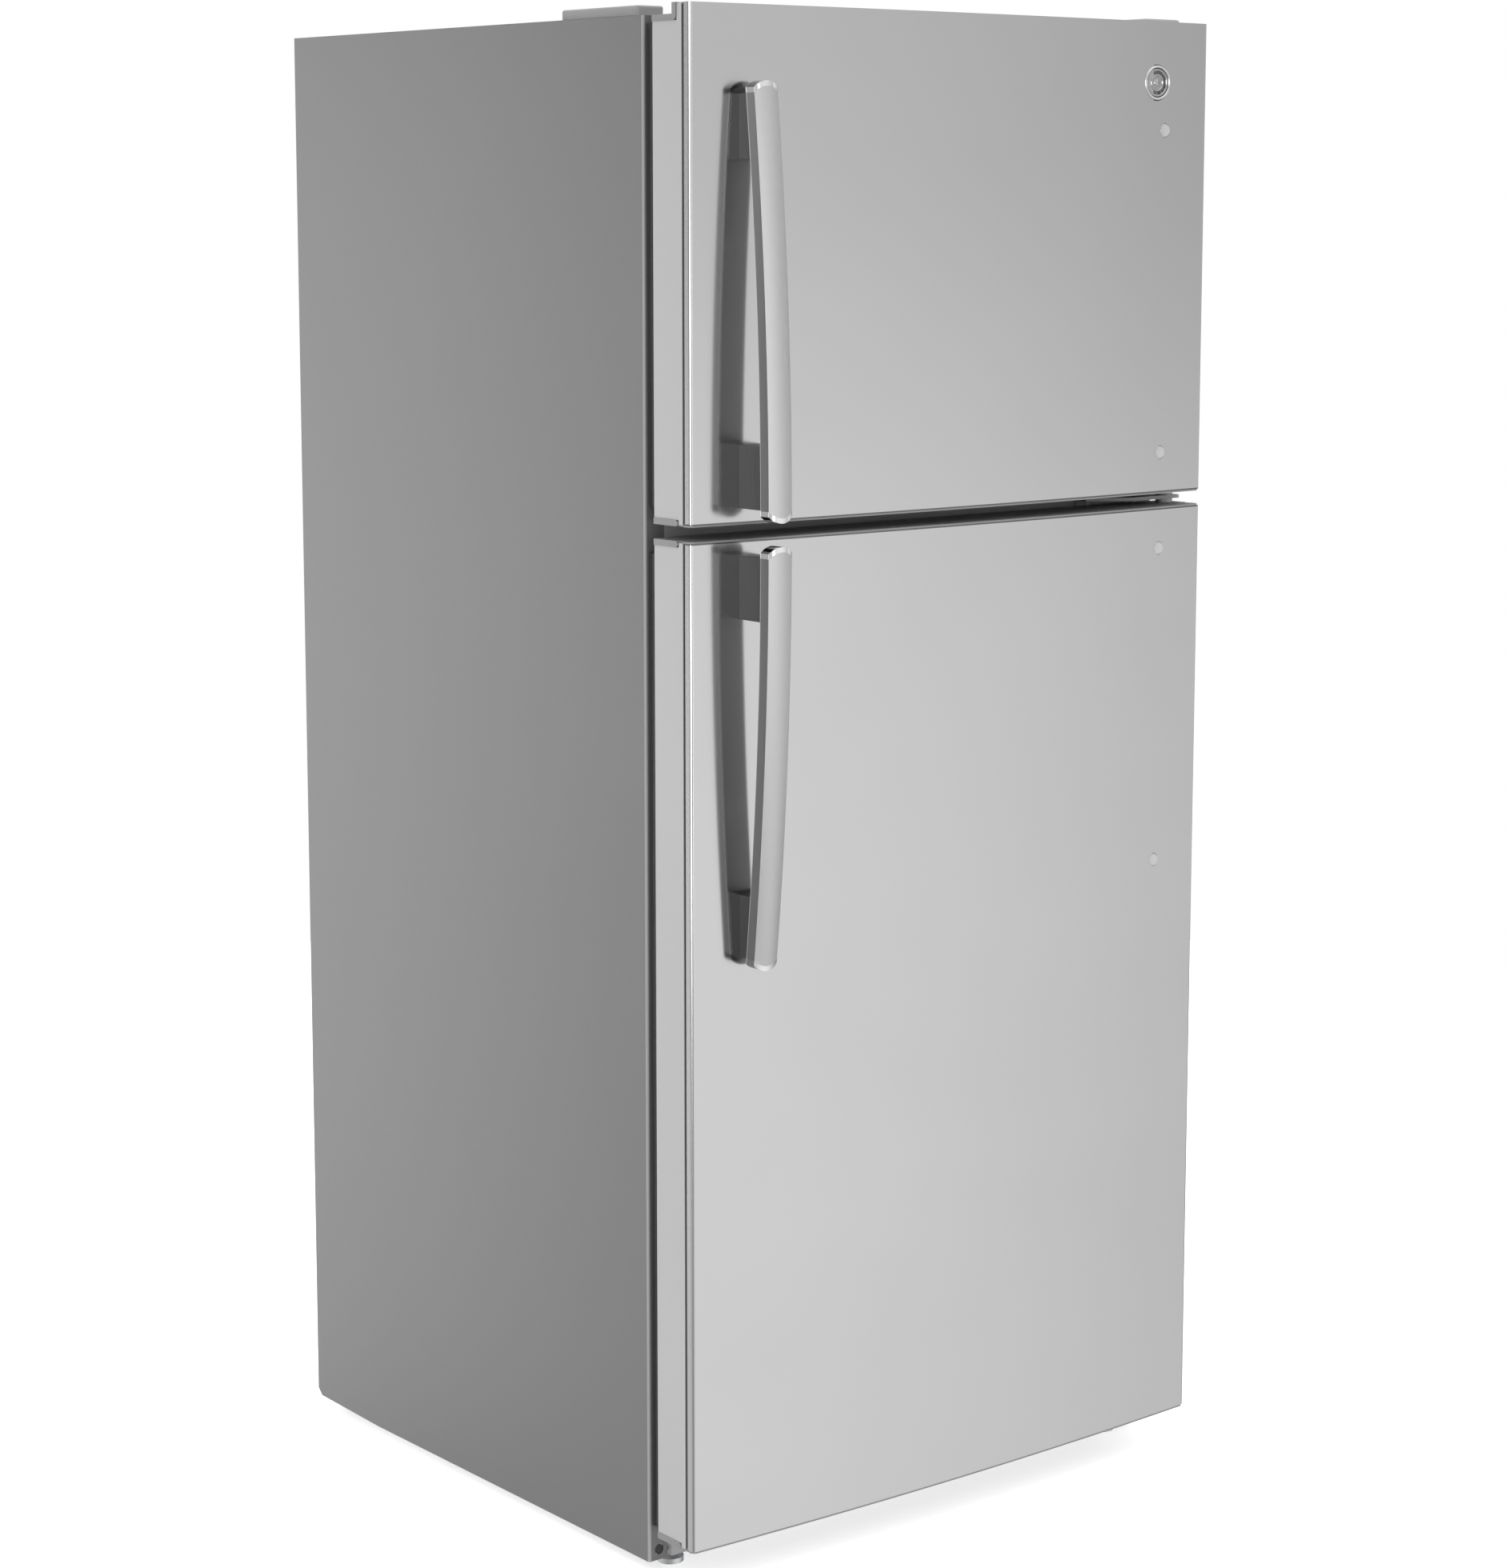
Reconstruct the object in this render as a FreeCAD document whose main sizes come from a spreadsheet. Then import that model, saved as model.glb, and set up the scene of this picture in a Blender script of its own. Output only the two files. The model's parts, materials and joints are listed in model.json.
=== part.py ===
"""Top freezer refrigerator: cabinet, two hinged doors and everything they carry.

Every sub-part is drawn with X = 0 on the centre plane, Y = 0 on the front edge of the cabinet
(the doors lie at negative Y) and Z = 0 on the floor.  front_y then carries all of them along Y,
so that the origin is the bottom centre of the whole object's box.
"""
import FreeCAD, Part
import os
import re
import Sketcher

doc = FreeCAD.newDocument("TopFreezerRefrigerator")

# ---------------------------------------------------------------- driving dimensions (mm)
DRIVING = {
    # whole object
    "front_y": -275.5,          # cabinet front edge in the finished frame
    # cabinet
    "case_half": 378,           # half the cabinet's width
    "case_depth": 690,
    "case_low": 13,             # bottom edge of the cabinet sides
    "case_high": 1695,          # top of the cabinet
    "steel": 1,                 # wrapper sheet
    "flange": 26,               # folded front edge of the wrapper
    "rail_low": 1134,           # steel rail between the compartments
    "rail_high": 1184,
    "liner": 2,                 # plastic liner wall
    # freezer space
    "ice_half": 320,
    "ice_low": 1190,
    "ice_high": 1637,
    "ice_deep": 622,
    # fresh food space
    "cold_half": 333,
    "cold_low": 100,
    "cold_high": 1127,
    "cold_deep": 620,
    "step_deep": 404,           # back of the fresh food space below the machine step
    "step_high": 322,
    # machine compartment at the lower rear
    "machine_front": 442,
    "machine_high": 288,
    "deck_low": 30,
    "deck_high": 33,
    # doors
    "door_back": 17,            # gap from the cabinet to the back of the doors
    "door_edge": 79.5,          # front of the doors at their sides
    "bow": 11.3,                # how far the front stands out at the centre
    "door_gap_low": 1151,       # top of the lower door
    "door_gap_high": 1166.5,    # bottom of the upper door
    "door_low": 47,
    "door_high": 1706,
    "ledge_high": 1694.4,       # low rear part of the upper door's top
    "cap": 6.7,                 # end cap thickness
    "skin": 1,
    "trim": 2,                  # thickness of the painted side strips
    "seam": 66,                 # rear edge of the dark seam in the door side
    # hinges
    "pin_x": 362,
    "pin_y": 37,                # hinge axis, this far ahead of the cabinet
    "pin_r": 4,
    "pin_play": 0.06,
    # handles
    "grip_x": -302.5,
    "grip_half": 15.5,
    "grip_reach": 139,          # front of the handle from the cabinet's front edge
    "grip_body": 14,            # thickness of the bar's flat side
    "grip_crown": 4,            # rise of the bar's convex front
    "grip_bend": 4130,          # radius of the bar's arc
    "grip_long": 456,
}
sizes = doc.addObject("Spreadsheet::Sheet", "Sizes")
for row, (alias, value) in enumerate(DRIVING.items(), start=1):
    sizes.set(f"A{row}", alias)
    sizes.set(f"B{row}", str(value))
    sizes.setAlias(f"B{row}", alias)
doc.recompute()

WORD = re.compile(r"[a-z][a-z_]*")


def formula(text):
    """Turn plain arithmetic on the aliases into an expression that reads the sheet."""
    return WORD.sub(lambda m: "Sizes." + m.group(0) if m.group(0) in DRIVING else m.group(0), str(text))


def number(text):
    """The present value of such an expression."""
    found = sizes.evalExpression(formula(text))
    return float(getattr(found, "Value", found))


def bind(thing, prop, text):
    thing.setExpression(prop, formula(text))


# ---------------------------------------------------------------- primitives and booleans
AXIS_TURN = {
    "x": FreeCAD.Rotation(FreeCAD.Vector(0, 1, 0), 90),
    "y": FreeCAD.Rotation(FreeCAD.Vector(1, 0, 0), -90),
    "z": FreeCAD.Rotation(),
}


def place(piece, at, turn=None):
    """Bind a primitive's corner or axis start; Y counts from the cabinet's front edge."""
    if turn is not None:
        piece.Placement = FreeCAD.Placement(FreeCAD.Vector(), turn)
    bind(piece, "Placement.Base.x", at[0])
    bind(piece, "Placement.Base.y", f"front_y + ({at[1]})")
    bind(piece, "Placement.Base.z", at[2])
    return piece


def block(name, x, y, z):
    """A box between a low and a high expression on each axis."""
    piece = doc.addObject("Part::Box", name)
    for prop, (low, high) in zip(("Length", "Width", "Height"), (x, y, z)):
        bind(piece, prop, f"({high}) - ({low})")
    return place(piece, (x[0], y[0], z[0]))


def rod(name, along, radius, at, length):
    """A round bar that starts at a point and runs along one axis."""
    piece = doc.addObject("Part::Cylinder", name)
    bind(piece, "Radius", radius)
    bind(piece, "Height", length)
    return place(piece, at, AXIS_TURN[along])


def fuse(name, pieces):
    joined = doc.addObject("Part::MultiFuse", name)
    joined.Shapes = pieces
    return joined


def cut(name, base, tools):
    left = doc.addObject("Part::Cut", name)
    left.Base = base
    left.Tool = tools[0] if len(tools) == 1 else fuse(name + "_tools", tools)
    return left


def common(name, first, second):
    both = doc.addObject("Part::Common", name)
    both.Base = first
    both.Tool = second
    return both


def softened(name, base, radius, picks):
    """Round the edges of base that picks(edge) chooses."""
    doc.recompute()
    chosen = [i for i, edge in enumerate(base.Shape.Edges, start=1) if picks(edge)]
    piece = doc.addObject("Part::Fillet", name)
    piece.Base = base
    piece.Edges = [(i, radius, radius) for i in chosen]
    return piece


def runs_along(edge, direction, least=0):
    """True for a straight edge parallel to a direction and at least so long."""
    if edge.Curve.TypeId != "Part::GeomLine" or edge.Length < least:
        return False
    return abs(edge.tangentAt(edge.FirstParameter).dot(FreeCAD.Vector(*direction))) > 0.999


# ---------------------------------------------------------------- PartDesign bodies
def new_body(name):
    body = doc.addObject("PartDesign::Body", name)
    bind(body, "Placement.Base.y", "front_y")
    return body


def new_sketch(body, name, role, lift=0):
    """A sketch on one of the body's own origin planes, lifted along the plane's normal."""
    plane = next(f for f in body.Origin.OriginFeatures if f.Role == role)
    sketch = body.newObject("Sketcher::SketchObject", name)
    sketch.AttachmentSupport = [(plane, "")]
    sketch.MapMode = "FlatFace"
    bind(sketch, "AttachmentOffset.Base.z", lift)
    return sketch


def pin_point(sketch, geo, spot, at):
    """Bind one point of a sketch to a pair of expressions."""
    for kind, text in zip(("DistanceX", "DistanceY"), at):
        index = sketch.addConstraint(Sketcher.Constraint(kind, -1, 1, geo, spot, number(text)))
        sketch.setExpression(f"Constraints[{index}]", formula(text))


def outline(sketch, points, arcs=None):
    """A closed outline through points; arcs maps a side's index to a point that its arc passes."""
    arcs = arcs or {}
    spots = [FreeCAD.Vector(number(u), number(v), 0) for u, v in points]
    first = sketch.GeometryCount
    count = len(points)
    for i in range(count):
        start, end = spots[i], spots[(i + 1) % count]
        if i in arcs:
            through = FreeCAD.Vector(number(arcs[i][0]), number(arcs[i][1]), 0)
            sketch.addGeometry(Part.Arc(start, through, end), False)
        else:
            sketch.addGeometry(Part.LineSegment(start, end), False)
    for i in range(count):
        here, after = first + i, first + (i + 1) % count
        meeting = spots[(i + 1) % count]
        end = min((1, 2), key=lambda spot: sketch.getPoint(here, spot).distanceToPoint(meeting))
        start = min((1, 2), key=lambda spot: sketch.getPoint(after, spot).distanceToPoint(meeting))
        sketch.addConstraint(Sketcher.Constraint("Coincident", here, end, after, start))
        pin_point(sketch, after, start, points[(i + 1) % count])
    for i, through in arcs.items():
        mark = sketch.addGeometry(Part.Point(FreeCAD.Vector(number(through[0]), number(through[1]), 0)), True)
        pin_point(sketch, mark, 1, through)
        sketch.addConstraint(Sketcher.Constraint("PointOnObject", mark, 1, first + i))
    return sketch


def rectangle(sketch, u, v):
    return outline(sketch, [(u[0], v[0]), (u[1], v[0]), (u[1], v[1]), (u[0], v[1])])


def circle(sketch, u, v, radius):
    centre = FreeCAD.Vector(number(u), number(v), 0)
    geo = sketch.addGeometry(Part.Circle(centre, FreeCAD.Vector(0, 0, 1), number(radius)), False)
    pin_point(sketch, geo, 3, (u, v))
    index = sketch.addConstraint(Sketcher.Constraint("Radius", geo, number(radius)))
    sketch.setExpression(f"Constraints[{index}]", formula(radius))
    return sketch


def pad(body, sketch, length, backwards=False):
    feature = body.newObject("PartDesign::Pad", sketch.Name + "_pad")
    feature.Profile = sketch
    bind(feature, "Length", length)
    feature.Reversed = backwards
    return feature


pockets = []


def pocket(body, sketch, length, backwards=False):
    feature = body.newObject("PartDesign::Pocket", sketch.Name + "_pocket")
    feature.Profile = sketch
    bind(feature, "Length", length)
    feature.Reversed = backwards
    pockets.append(feature)
    return feature


def round_off(body, name, edges, radius):
    """Fillet the named edges of the body's last feature."""
    last = body.Tip
    feature = body.newObject("PartDesign::Fillet", name)
    feature.Base = (last, edges)
    feature.Radius = radius
    return feature


def repeat(body, feature, length, count):
    """Repeat a feature along the body's X axis, count times over a length."""
    pattern = body.newObject("PartDesign::LinearPattern", feature.Name + "_row")
    pattern.Originals = [feature]
    x_axis = next(f for f in body.Origin.OriginFeatures if f.Role == "X_Axis")
    pattern.Direction = (x_axis, [""])
    pattern.Length = length
    pattern.Occurrences = count
    body.Tip = pattern
    return pattern


def plate(name, role, lift, length, points, arcs=None, backwards=False):
    """A body that is one padded outline."""
    body = new_body(name)
    sketch = outline(new_sketch(body, name + "_outline", role, lift), points, arcs)
    pad(body, sketch, length, backwards)
    return body


def spun(name, role, lift, points, axis, arcs=None):
    """A body that is one outline turned about a sketch axis."""
    body = new_body(name)
    sketch = outline(new_sketch(body, name + "_outline", role, lift), points, arcs)
    feature = body.newObject("PartDesign::Revolution", name + "_turn")
    feature.Profile = sketch
    feature.ReferenceAxis = (sketch, [axis])
    feature.Angle = 360
    return body


nodes = []


def node(piece, name):
    """Keep a finished piece as the sub-part of this name."""
    piece.Label = name
    nodes.append(piece)
    return piece


# ---------------------------------------------------------------- cabinet
def case_shell():
    """Painted steel wrapper: two sides, a top and a folded front edge, open at back and bottom."""
    body = new_body("case_wrapper")
    side = new_sketch(body, "case_side", "YZ_Plane", "-case_half")
    rise = 4
    outline(side, [
        (0, "case_low"), (0, "case_high"), ("case_depth", "case_high"),
        ("case_depth", f"case_low + {rise + 8}"), ("case_depth - 8", f"case_low + {rise}"),
        ("case_depth - 140", "case_low"),
    ])
    pad(body, side, "2 * case_half")
    inside = new_sketch(body, "case_inside", "XZ_Plane", -2)
    rectangle(inside, ("steel - case_half", "case_half - steel"), (0, "case_high - steel"))
    pocket(body, inside, "case_depth")
    mouth = new_sketch(body, "case_mouth", "XZ_Plane", 10)
    rectangle(mouth, ("flange - case_half", "case_half - flange"), (0, "case_high - flange"))
    pocket(body, mouth, 30)
    plugs = new_sketch(body, "case_plug_holes", "XZ_Plane", 10)
    for sign in ("-", ""):
        circle(plugs, f"{sign}(case_half - 14)", "case_low + 12", 6)
    pocket(body, plugs, 30)
    doc.recompute()
    corner = [f"Edge{i}" for i, e in enumerate(body.Shape.Edges, start=1)
              if runs_along(e, (0, 0, 1), 1500) and abs(e.CenterOfMass.y - number("front_y")) < 0.01
              and abs(abs(e.CenterOfMass.x) - number("case_half")) < 0.01]
    round_off(body, "case_front_bend", corner, 2.6)
    node(body, "case_shell")


def back_panel():
    """Flat steel back with four pressed stiffening ribs."""
    sheet = block("back_sheet", ("steel - case_half", "case_half - steel"),
                  ("case_depth - 4", "case_depth - 3"), ("machine_high + 2", "case_high - steel"))
    ribs = [block(f"back_rib_{i}", (x - 15, x + 15), ("case_depth - 3", "case_depth - 1"), (420, 1600))
            for i, x in enumerate((-270, -90, 90, 270))]
    node(fuse("back_panel", [sheet] + ribs), "back_panel")


def cabinet_foam():
    """Insulation between the wrapper and the two liners, stepped over the machine compartment."""
    wall = "case_half - steel"
    whole = block("foam_block", (f"-({wall})", wall), (2, "case_depth - 4"), (60, "case_high - steel"))
    holes = [
        block("foam_ice", ("-(ice_half + liner)", "ice_half + liner"), (-5, "ice_deep + liner"),
              ("ice_low - liner", "ice_high + liner")),
        block("foam_cold_high", ("-(cold_half + liner)", "cold_half + liner"), (-5, "cold_deep + liner"),
              ("step_high - liner", "cold_high + liner")),
        block("foam_cold_low", ("-(cold_half + liner)", "cold_half + liner"), (-5, "step_deep + liner"),
              ("cold_low - liner", "step_high")),
        block("foam_machine", ("-case_half", "case_half"), ("machine_front - 2", "case_depth"),
              (0, "machine_high + 2")),
        block("foam_rail", ("flange - case_half", "case_half - flange"), (0, 4),
              ("rail_low", "rail_high")),
        block("foam_ice_lip", ("flange - case_half", "case_half - flange"), (0, 4),
              ("rail_high", "case_high - flange")),
        block("foam_cold_lip", ("flange - case_half", "case_half - flange"), (0, 4), (50, "rail_low")),
        block("foam_front_rail", ("-case_half", "case_half"), (0, 34), (0, 80)),
    ]
    node(cut("cabinet_foam", whole, holes), "cabinet_foam")


def freezer_liner():
    """Moulded plastic box of the freezer space, with a front lip that meets the folded steel."""
    tub = block("ice_tub", ("-(ice_half + liner)", "ice_half + liner"), (2, "ice_deep + liner"),
                ("ice_low - liner", "ice_high + liner"))
    lip = block("ice_lip", ("flange - case_half", "case_half - flange"), (2, 4),
                ("rail_high", "case_high - flange"))
    space = block("ice_space", ("-ice_half", "ice_half"), (-5, "ice_deep"), ("ice_low", "ice_high"))
    shelf_ledges = [
        block(f"ice_ledge_{i}", (low, high), (100, 540), (1392, 1398))
        for i, (low, high) in enumerate((("-ice_half - 1", "8 - ice_half"), ("ice_half - 8", "ice_half + 1")))
    ]
    node(fuse("freezer_liner", [cut("ice_shell", fuse("ice_solid", [tub, lip]), [space])] + shelf_ledges),
         "freezer_liner")


SHELF_HEIGHTS = (530, 700, 870)
CRISPER_COVER = 336


def fresh_food_liner():
    """Moulded plastic box of the fresh food space, with its step over the machine compartment."""
    tub = block("cold_tub", ("-(cold_half + liner)", "cold_half + liner"), (2, "cold_deep + liner"),
                ("step_high - liner", "cold_high + liner"))
    foot = block("cold_foot", ("-(cold_half + liner)", "cold_half + liner"), (2, "step_deep + liner"),
                 ("cold_low - liner", "step_high"))
    lip = block("cold_lip", ("flange - case_half", "case_half - flange"), (2, 4), (80, "rail_low"))
    space = block("cold_space", ("-cold_half", "cold_half"), (-5, "cold_deep"), ("step_high", "cold_high"))
    low_space = block("cold_low_space", ("-cold_half", "cold_half"), (-5, "step_deep"),
                      ("cold_low", "step_high + 1"))
    shell = cut("cold_shell", fuse("cold_solid", [tub, foot, lip]), [space, low_space])
    ledges = []
    for height in (CRISPER_COVER,) + SHELF_HEIGHTS:
        for side, (low, high) in (("l", ("-cold_half - 1", "7 - cold_half")),
                                  ("r", ("cold_half - 7", "cold_half + 1"))):
            ledges.append(block(f"cold_ledge_{height}_{side}", (low, high), (112, 600),
                                (height - 14, height - 8)))
    node(fuse("fresh_food_liner", [shell] + ledges), "fresh_food_liner")


def center_rail():
    """Steel rail across the front between the two compartments."""
    node(plate("center_rail_plate", "XZ_Plane", 0, 4, [
        ("flange - case_half", "rail_low"), ("case_half - flange", "rail_low"),
        ("case_half - flange", "rail_high"), ("flange - case_half", "rail_high"),
    ], backwards=True), "center_rail")


ROLLER_X = (-340, 340)
ROLLER_Y = 640
ROLLER_R = 17
LEG_X = 335
LEG_Y = 18


def base_frame():
    """Welded steel base: front rail, deck, compressor hood and the forks of the rear rollers."""
    wall = "case_half - steel"
    rail = block("base_rail", (f"-({wall})", wall), (2, 34), (44, 80))
    deck = block("base_deck", (f"-({wall})", wall), (34, "machine_front"), (57, 60))
    hood_front = block("hood_front", (f"-({wall})", wall), ("machine_front - 2", "machine_front"),
                       ("deck_low", "machine_high + 2"))
    hood_top = block("hood_top", (f"-({wall})", wall), ("machine_front - 2", "case_depth - 5"),
                     ("machine_high", "machine_high + 2"))
    floor = block("machine_floor", (f"-({wall})", wall), ("machine_front - 2", "case_depth - 5"),
                  ("deck_low", "deck_high"))
    solids = [rail, deck, hood_front, hood_top, floor]
    tools = [block("base_rail_hollow", ("6 - case_half", "case_half - 6"), (5, 40), (47, 57))]
    for i, x in enumerate(ROLLER_X):
        for side, near in (("l", x - 16), ("r", x + 12)):
            solids.append(block(f"fork_{i}{side}", (near, near + 4), (ROLLER_Y - 14, ROLLER_Y + 14),
                                (ROLLER_R - 8, "deck_low + 1")))
        solids.append(rod(f"axle_{i}", "x", 4, (x - 18, ROLLER_Y, ROLLER_R), 36))
        tools.append(block(f"wheel_slot_{i}", (x - 11, x + 11), (ROLLER_Y - 20, ROLLER_Y + 20),
                           (ROLLER_R + 6, "deck_high + 4")))
        tools.append(rod(f"leg_hole_{i}", "z", 5.06, ((-LEG_X, LEG_X)[i], LEG_Y, 30), 60))
    node(cut("base_frame", fuse("base_solid", solids), tools), "base_frame")


def base_grille():
    """Kick plate below the lower door, with a row of air slots."""
    body = new_body("kick_plate")
    face = new_sketch(body, "kick_face", "XZ_Plane", 4)
    rectangle(face, (-350, 286), ("case_low + 2", 43.5))
    pad(body, face, 5, backwards=True)
    slots = new_sketch(body, "kick_slots", "XZ_Plane", 6)
    for low in (22, 32):
        rectangle(slots, (-300, -274), (low, low + 4))
    repeat(body, pocket(body, slots, 12), 14 * 38, 15)
    node(body, "base_grille")


def top_fittings():
    """Hinge bracket with its pin on the right, its cover, and the spare cover on the left."""
    leaf = block("top_leaf", (300, 363), (4, 95), ("case_high", "case_high + 3.2"))
    arm = block("top_arm", (343, 363), (-37, 6), ("case_high + 0.8", "case_high + 3.2"))
    boss = rod("top_boss", "z", 10, ("pin_x", "-pin_y", "case_high + 0.8"), 2.4)
    pin = rod("top_pin", "z", "pin_r", ("pin_x", "-pin_y", "ledge_high - 6"),
              "case_high + 2 - ledge_high + 6")
    holes = [rod(f"top_screw_hole_{i}", "z", 3, (x, y, 1690), 20)
             for i, (x, y) in enumerate(((320, 25), (345, 25), (332, 75)))]
    node(cut("top_hinge", fuse("top_hinge_solid", [leaf, arm, boss, pin]), holes), "top_hinge")

    cover = block("cover_outer", (308, 364), (-50, 104), ("case_high + 0.5", 1711))
    cover_soft = softened("cover_soft", cover, 5, lambda e: e.CenterOfMass.z > 1710
                          or (runs_along(e, (0, 0, 1)) and e.CenterOfMass.y > -200))
    corner = plate("cover_corner", "XY_Plane", 1690, 30, [
        ("pin_x - 2", -53), (370, -53), (370, "-pin_y")], {2: ("pin_x - 2 + 2.8", "-pin_y - 10.2")})
    hollow = block("cover_hollow", (298, 363.6), (-37, 102), (1690, "case_high + 4"))
    boss_room = rod("cover_boss_room", "z", 10.6, ("pin_x", "-pin_y", 1690), "case_high + 4 - 1690")
    lightening = block("cover_lightening", (311, 361), (-30, 101), (1690, 1708.5))
    node(cut("top_hinge_cover", cover_soft, [corner, hollow, boss_room, lightening]), "top_hinge_cover")

    spare = block("spare_block", (-368, -334), (21, 158), ("case_high + 1", "case_high + 11.5"))
    spare_soft = softened("spare_soft", spare, 2.5, lambda e: e.CenterOfMass.z > number("case_high") + 11
                          or runs_along(e, (0, 0, 1)))
    feet = [block(f"spare_foot_{i}", (-364, -338), (y, y + 6), ("case_high", "case_high + 2"))
            for i, y in enumerate((26, 140))]
    room = block("spare_room", (-365.5, -336.5), (23.5, 155.5), ("case_high", "case_high + 9"))
    posts = [block(f"spare_post_{i}", (-358, -344), (y, y + 6), ("case_high", "case_high + 10"))
             for i, y in enumerate((40, 130))]
    shell = cut("spare_shell", fuse("spare_body", [spare_soft] + feet), [room])
    node(fuse("spare_hinge_cover", [shell] + posts), "spare_hinge_cover")


PLATE_LOW = 1156
PLATE_HIGH = 1160


def lower_hinges():
    """Centre hinge between the doors with nylon spacers, and the bottom hinge under the lower door."""
    leaf = plate("center_leaf", "XY_Plane", PLATE_LOW, PLATE_HIGH - PLATE_LOW, [
        (247, 0), (247, -24), (300, -50), (374, -50), (374, -22), (352, 0)])
    flange = block("center_flange", (252, 346), (-3, 0), (1140, 1180))
    up = rod("center_pin_up", "z", "pin_r", ("pin_x", "-pin_y", PLATE_HIGH - 1),
             f"door_gap_high + 6 - {PLATE_HIGH - 1}")
    down = rod("center_pin_down", "z", "pin_r", ("pin_x", "-pin_y", "door_gap_low - 6"),
               f"{PLATE_LOW + 1} - door_gap_low + 6")
    slots = [block("center_slot", (262, 300), (-18, -10), (PLATE_LOW - 1, PLATE_HIGH + 1))]
    slots += [rod(f"center_screw_hole_{i}", "y", 3, (x, -5, z), 10)
              for i, (x, z) in enumerate(((268, 1170), (330, 1170), (268, 1148), (330, 1148)))]
    node(cut("center_hinge", fuse("center_hinge_solid", [leaf, flange, up, down]), slots), "center_hinge")

    upper = rod("spacer_up", "z", 10, ("pin_x", "-pin_y", PLATE_HIGH), f"door_gap_high - 0.2 - {PLATE_HIGH}")
    lower = rod("spacer_down", "z", 10, ("pin_x", "-pin_y", "door_gap_low + 0.2"),
                f"{PLATE_LOW} - door_gap_low - 0.2")
    bore = rod("spacer_bore", "z", "pin_r + 0.03", ("pin_x", "-pin_y", "door_gap_low - 2"), 20)
    node(cut("center_hinge_spacers", fuse("spacer_pair", [upper, lower]), [bore]), "center_hinge_spacers")

    foot = plate("bottom_leaf", "XY_Plane", 36, 4, [
        (292, 0), (292, -24), (330, -50), (374, -50), (374, -22), (366, 0)])
    wing = block("bottom_wing", (292, 350), (-3, 0), (16, 43))
    pin = rod("bottom_pin", "z", "pin_r", ("pin_x", "-pin_y", 37), "door_low + 6 - 37")
    cam = rod("bottom_cam", "z", 10, ("pin_x", "-pin_y", 39), "door_low - 0.2 - 39")
    holes = [rod(f"bottom_screw_hole_{i}", "y", 3, (x, -5, 26), 10) for i, x in enumerate((306, 338))]
    node(cut("bottom_hinge", fuse("bottom_hinge_solid", [foot, wing, pin, cam]), holes), "bottom_hinge")


def hex_screw(name, along, at, length):
    """Hex-headed screw whose shank starts at a point; the head sits against the direction of travel."""
    head = doc.addObject("Part::Prism", name + "_head")
    head.Polygon = 6
    head.Circumradius = 5
    head.Height = 3
    shift = {"z": (0, 0, 0), "y": (0, -3, 0)}[along]
    place(head, tuple(f"({a}) + ({s})" for a, s in zip(at, shift)), AXIS_TURN[along])
    shank_at = at if along == "y" else (at[0], at[1], f"({at[2]}) - ({length})")
    shank = rod(name + "_shank", along, 2.9, shank_at, length)
    return fuse(name, [head, shank])


def hinge_screws():
    """All hex screws of the three hinges, one group of separate solids."""
    screws = [hex_screw(f"top_screw_{i}", "z", (x, y, "case_high + 3.2"), 3.2)
              for i, (x, y) in enumerate(((320, 25), (345, 25), (332, 75)))]
    screws += [hex_screw(f"center_screw_{i}", "y", (x, -3, z), 3)
               for i, (x, z) in enumerate(((268, 1170), (330, 1170), (268, 1148), (330, 1148)))]
    screws += [hex_screw(f"bottom_screw_{i}", "y", (x, -3, 26), 3) for i, x in enumerate((306, 338))]
    node(fuse("hinge_screws", screws), "hinge_screws")


# ---------------------------------------------------------------- inside the freezer
motors = []
FAN_Z = 1545
FAN_Y = 588


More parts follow.
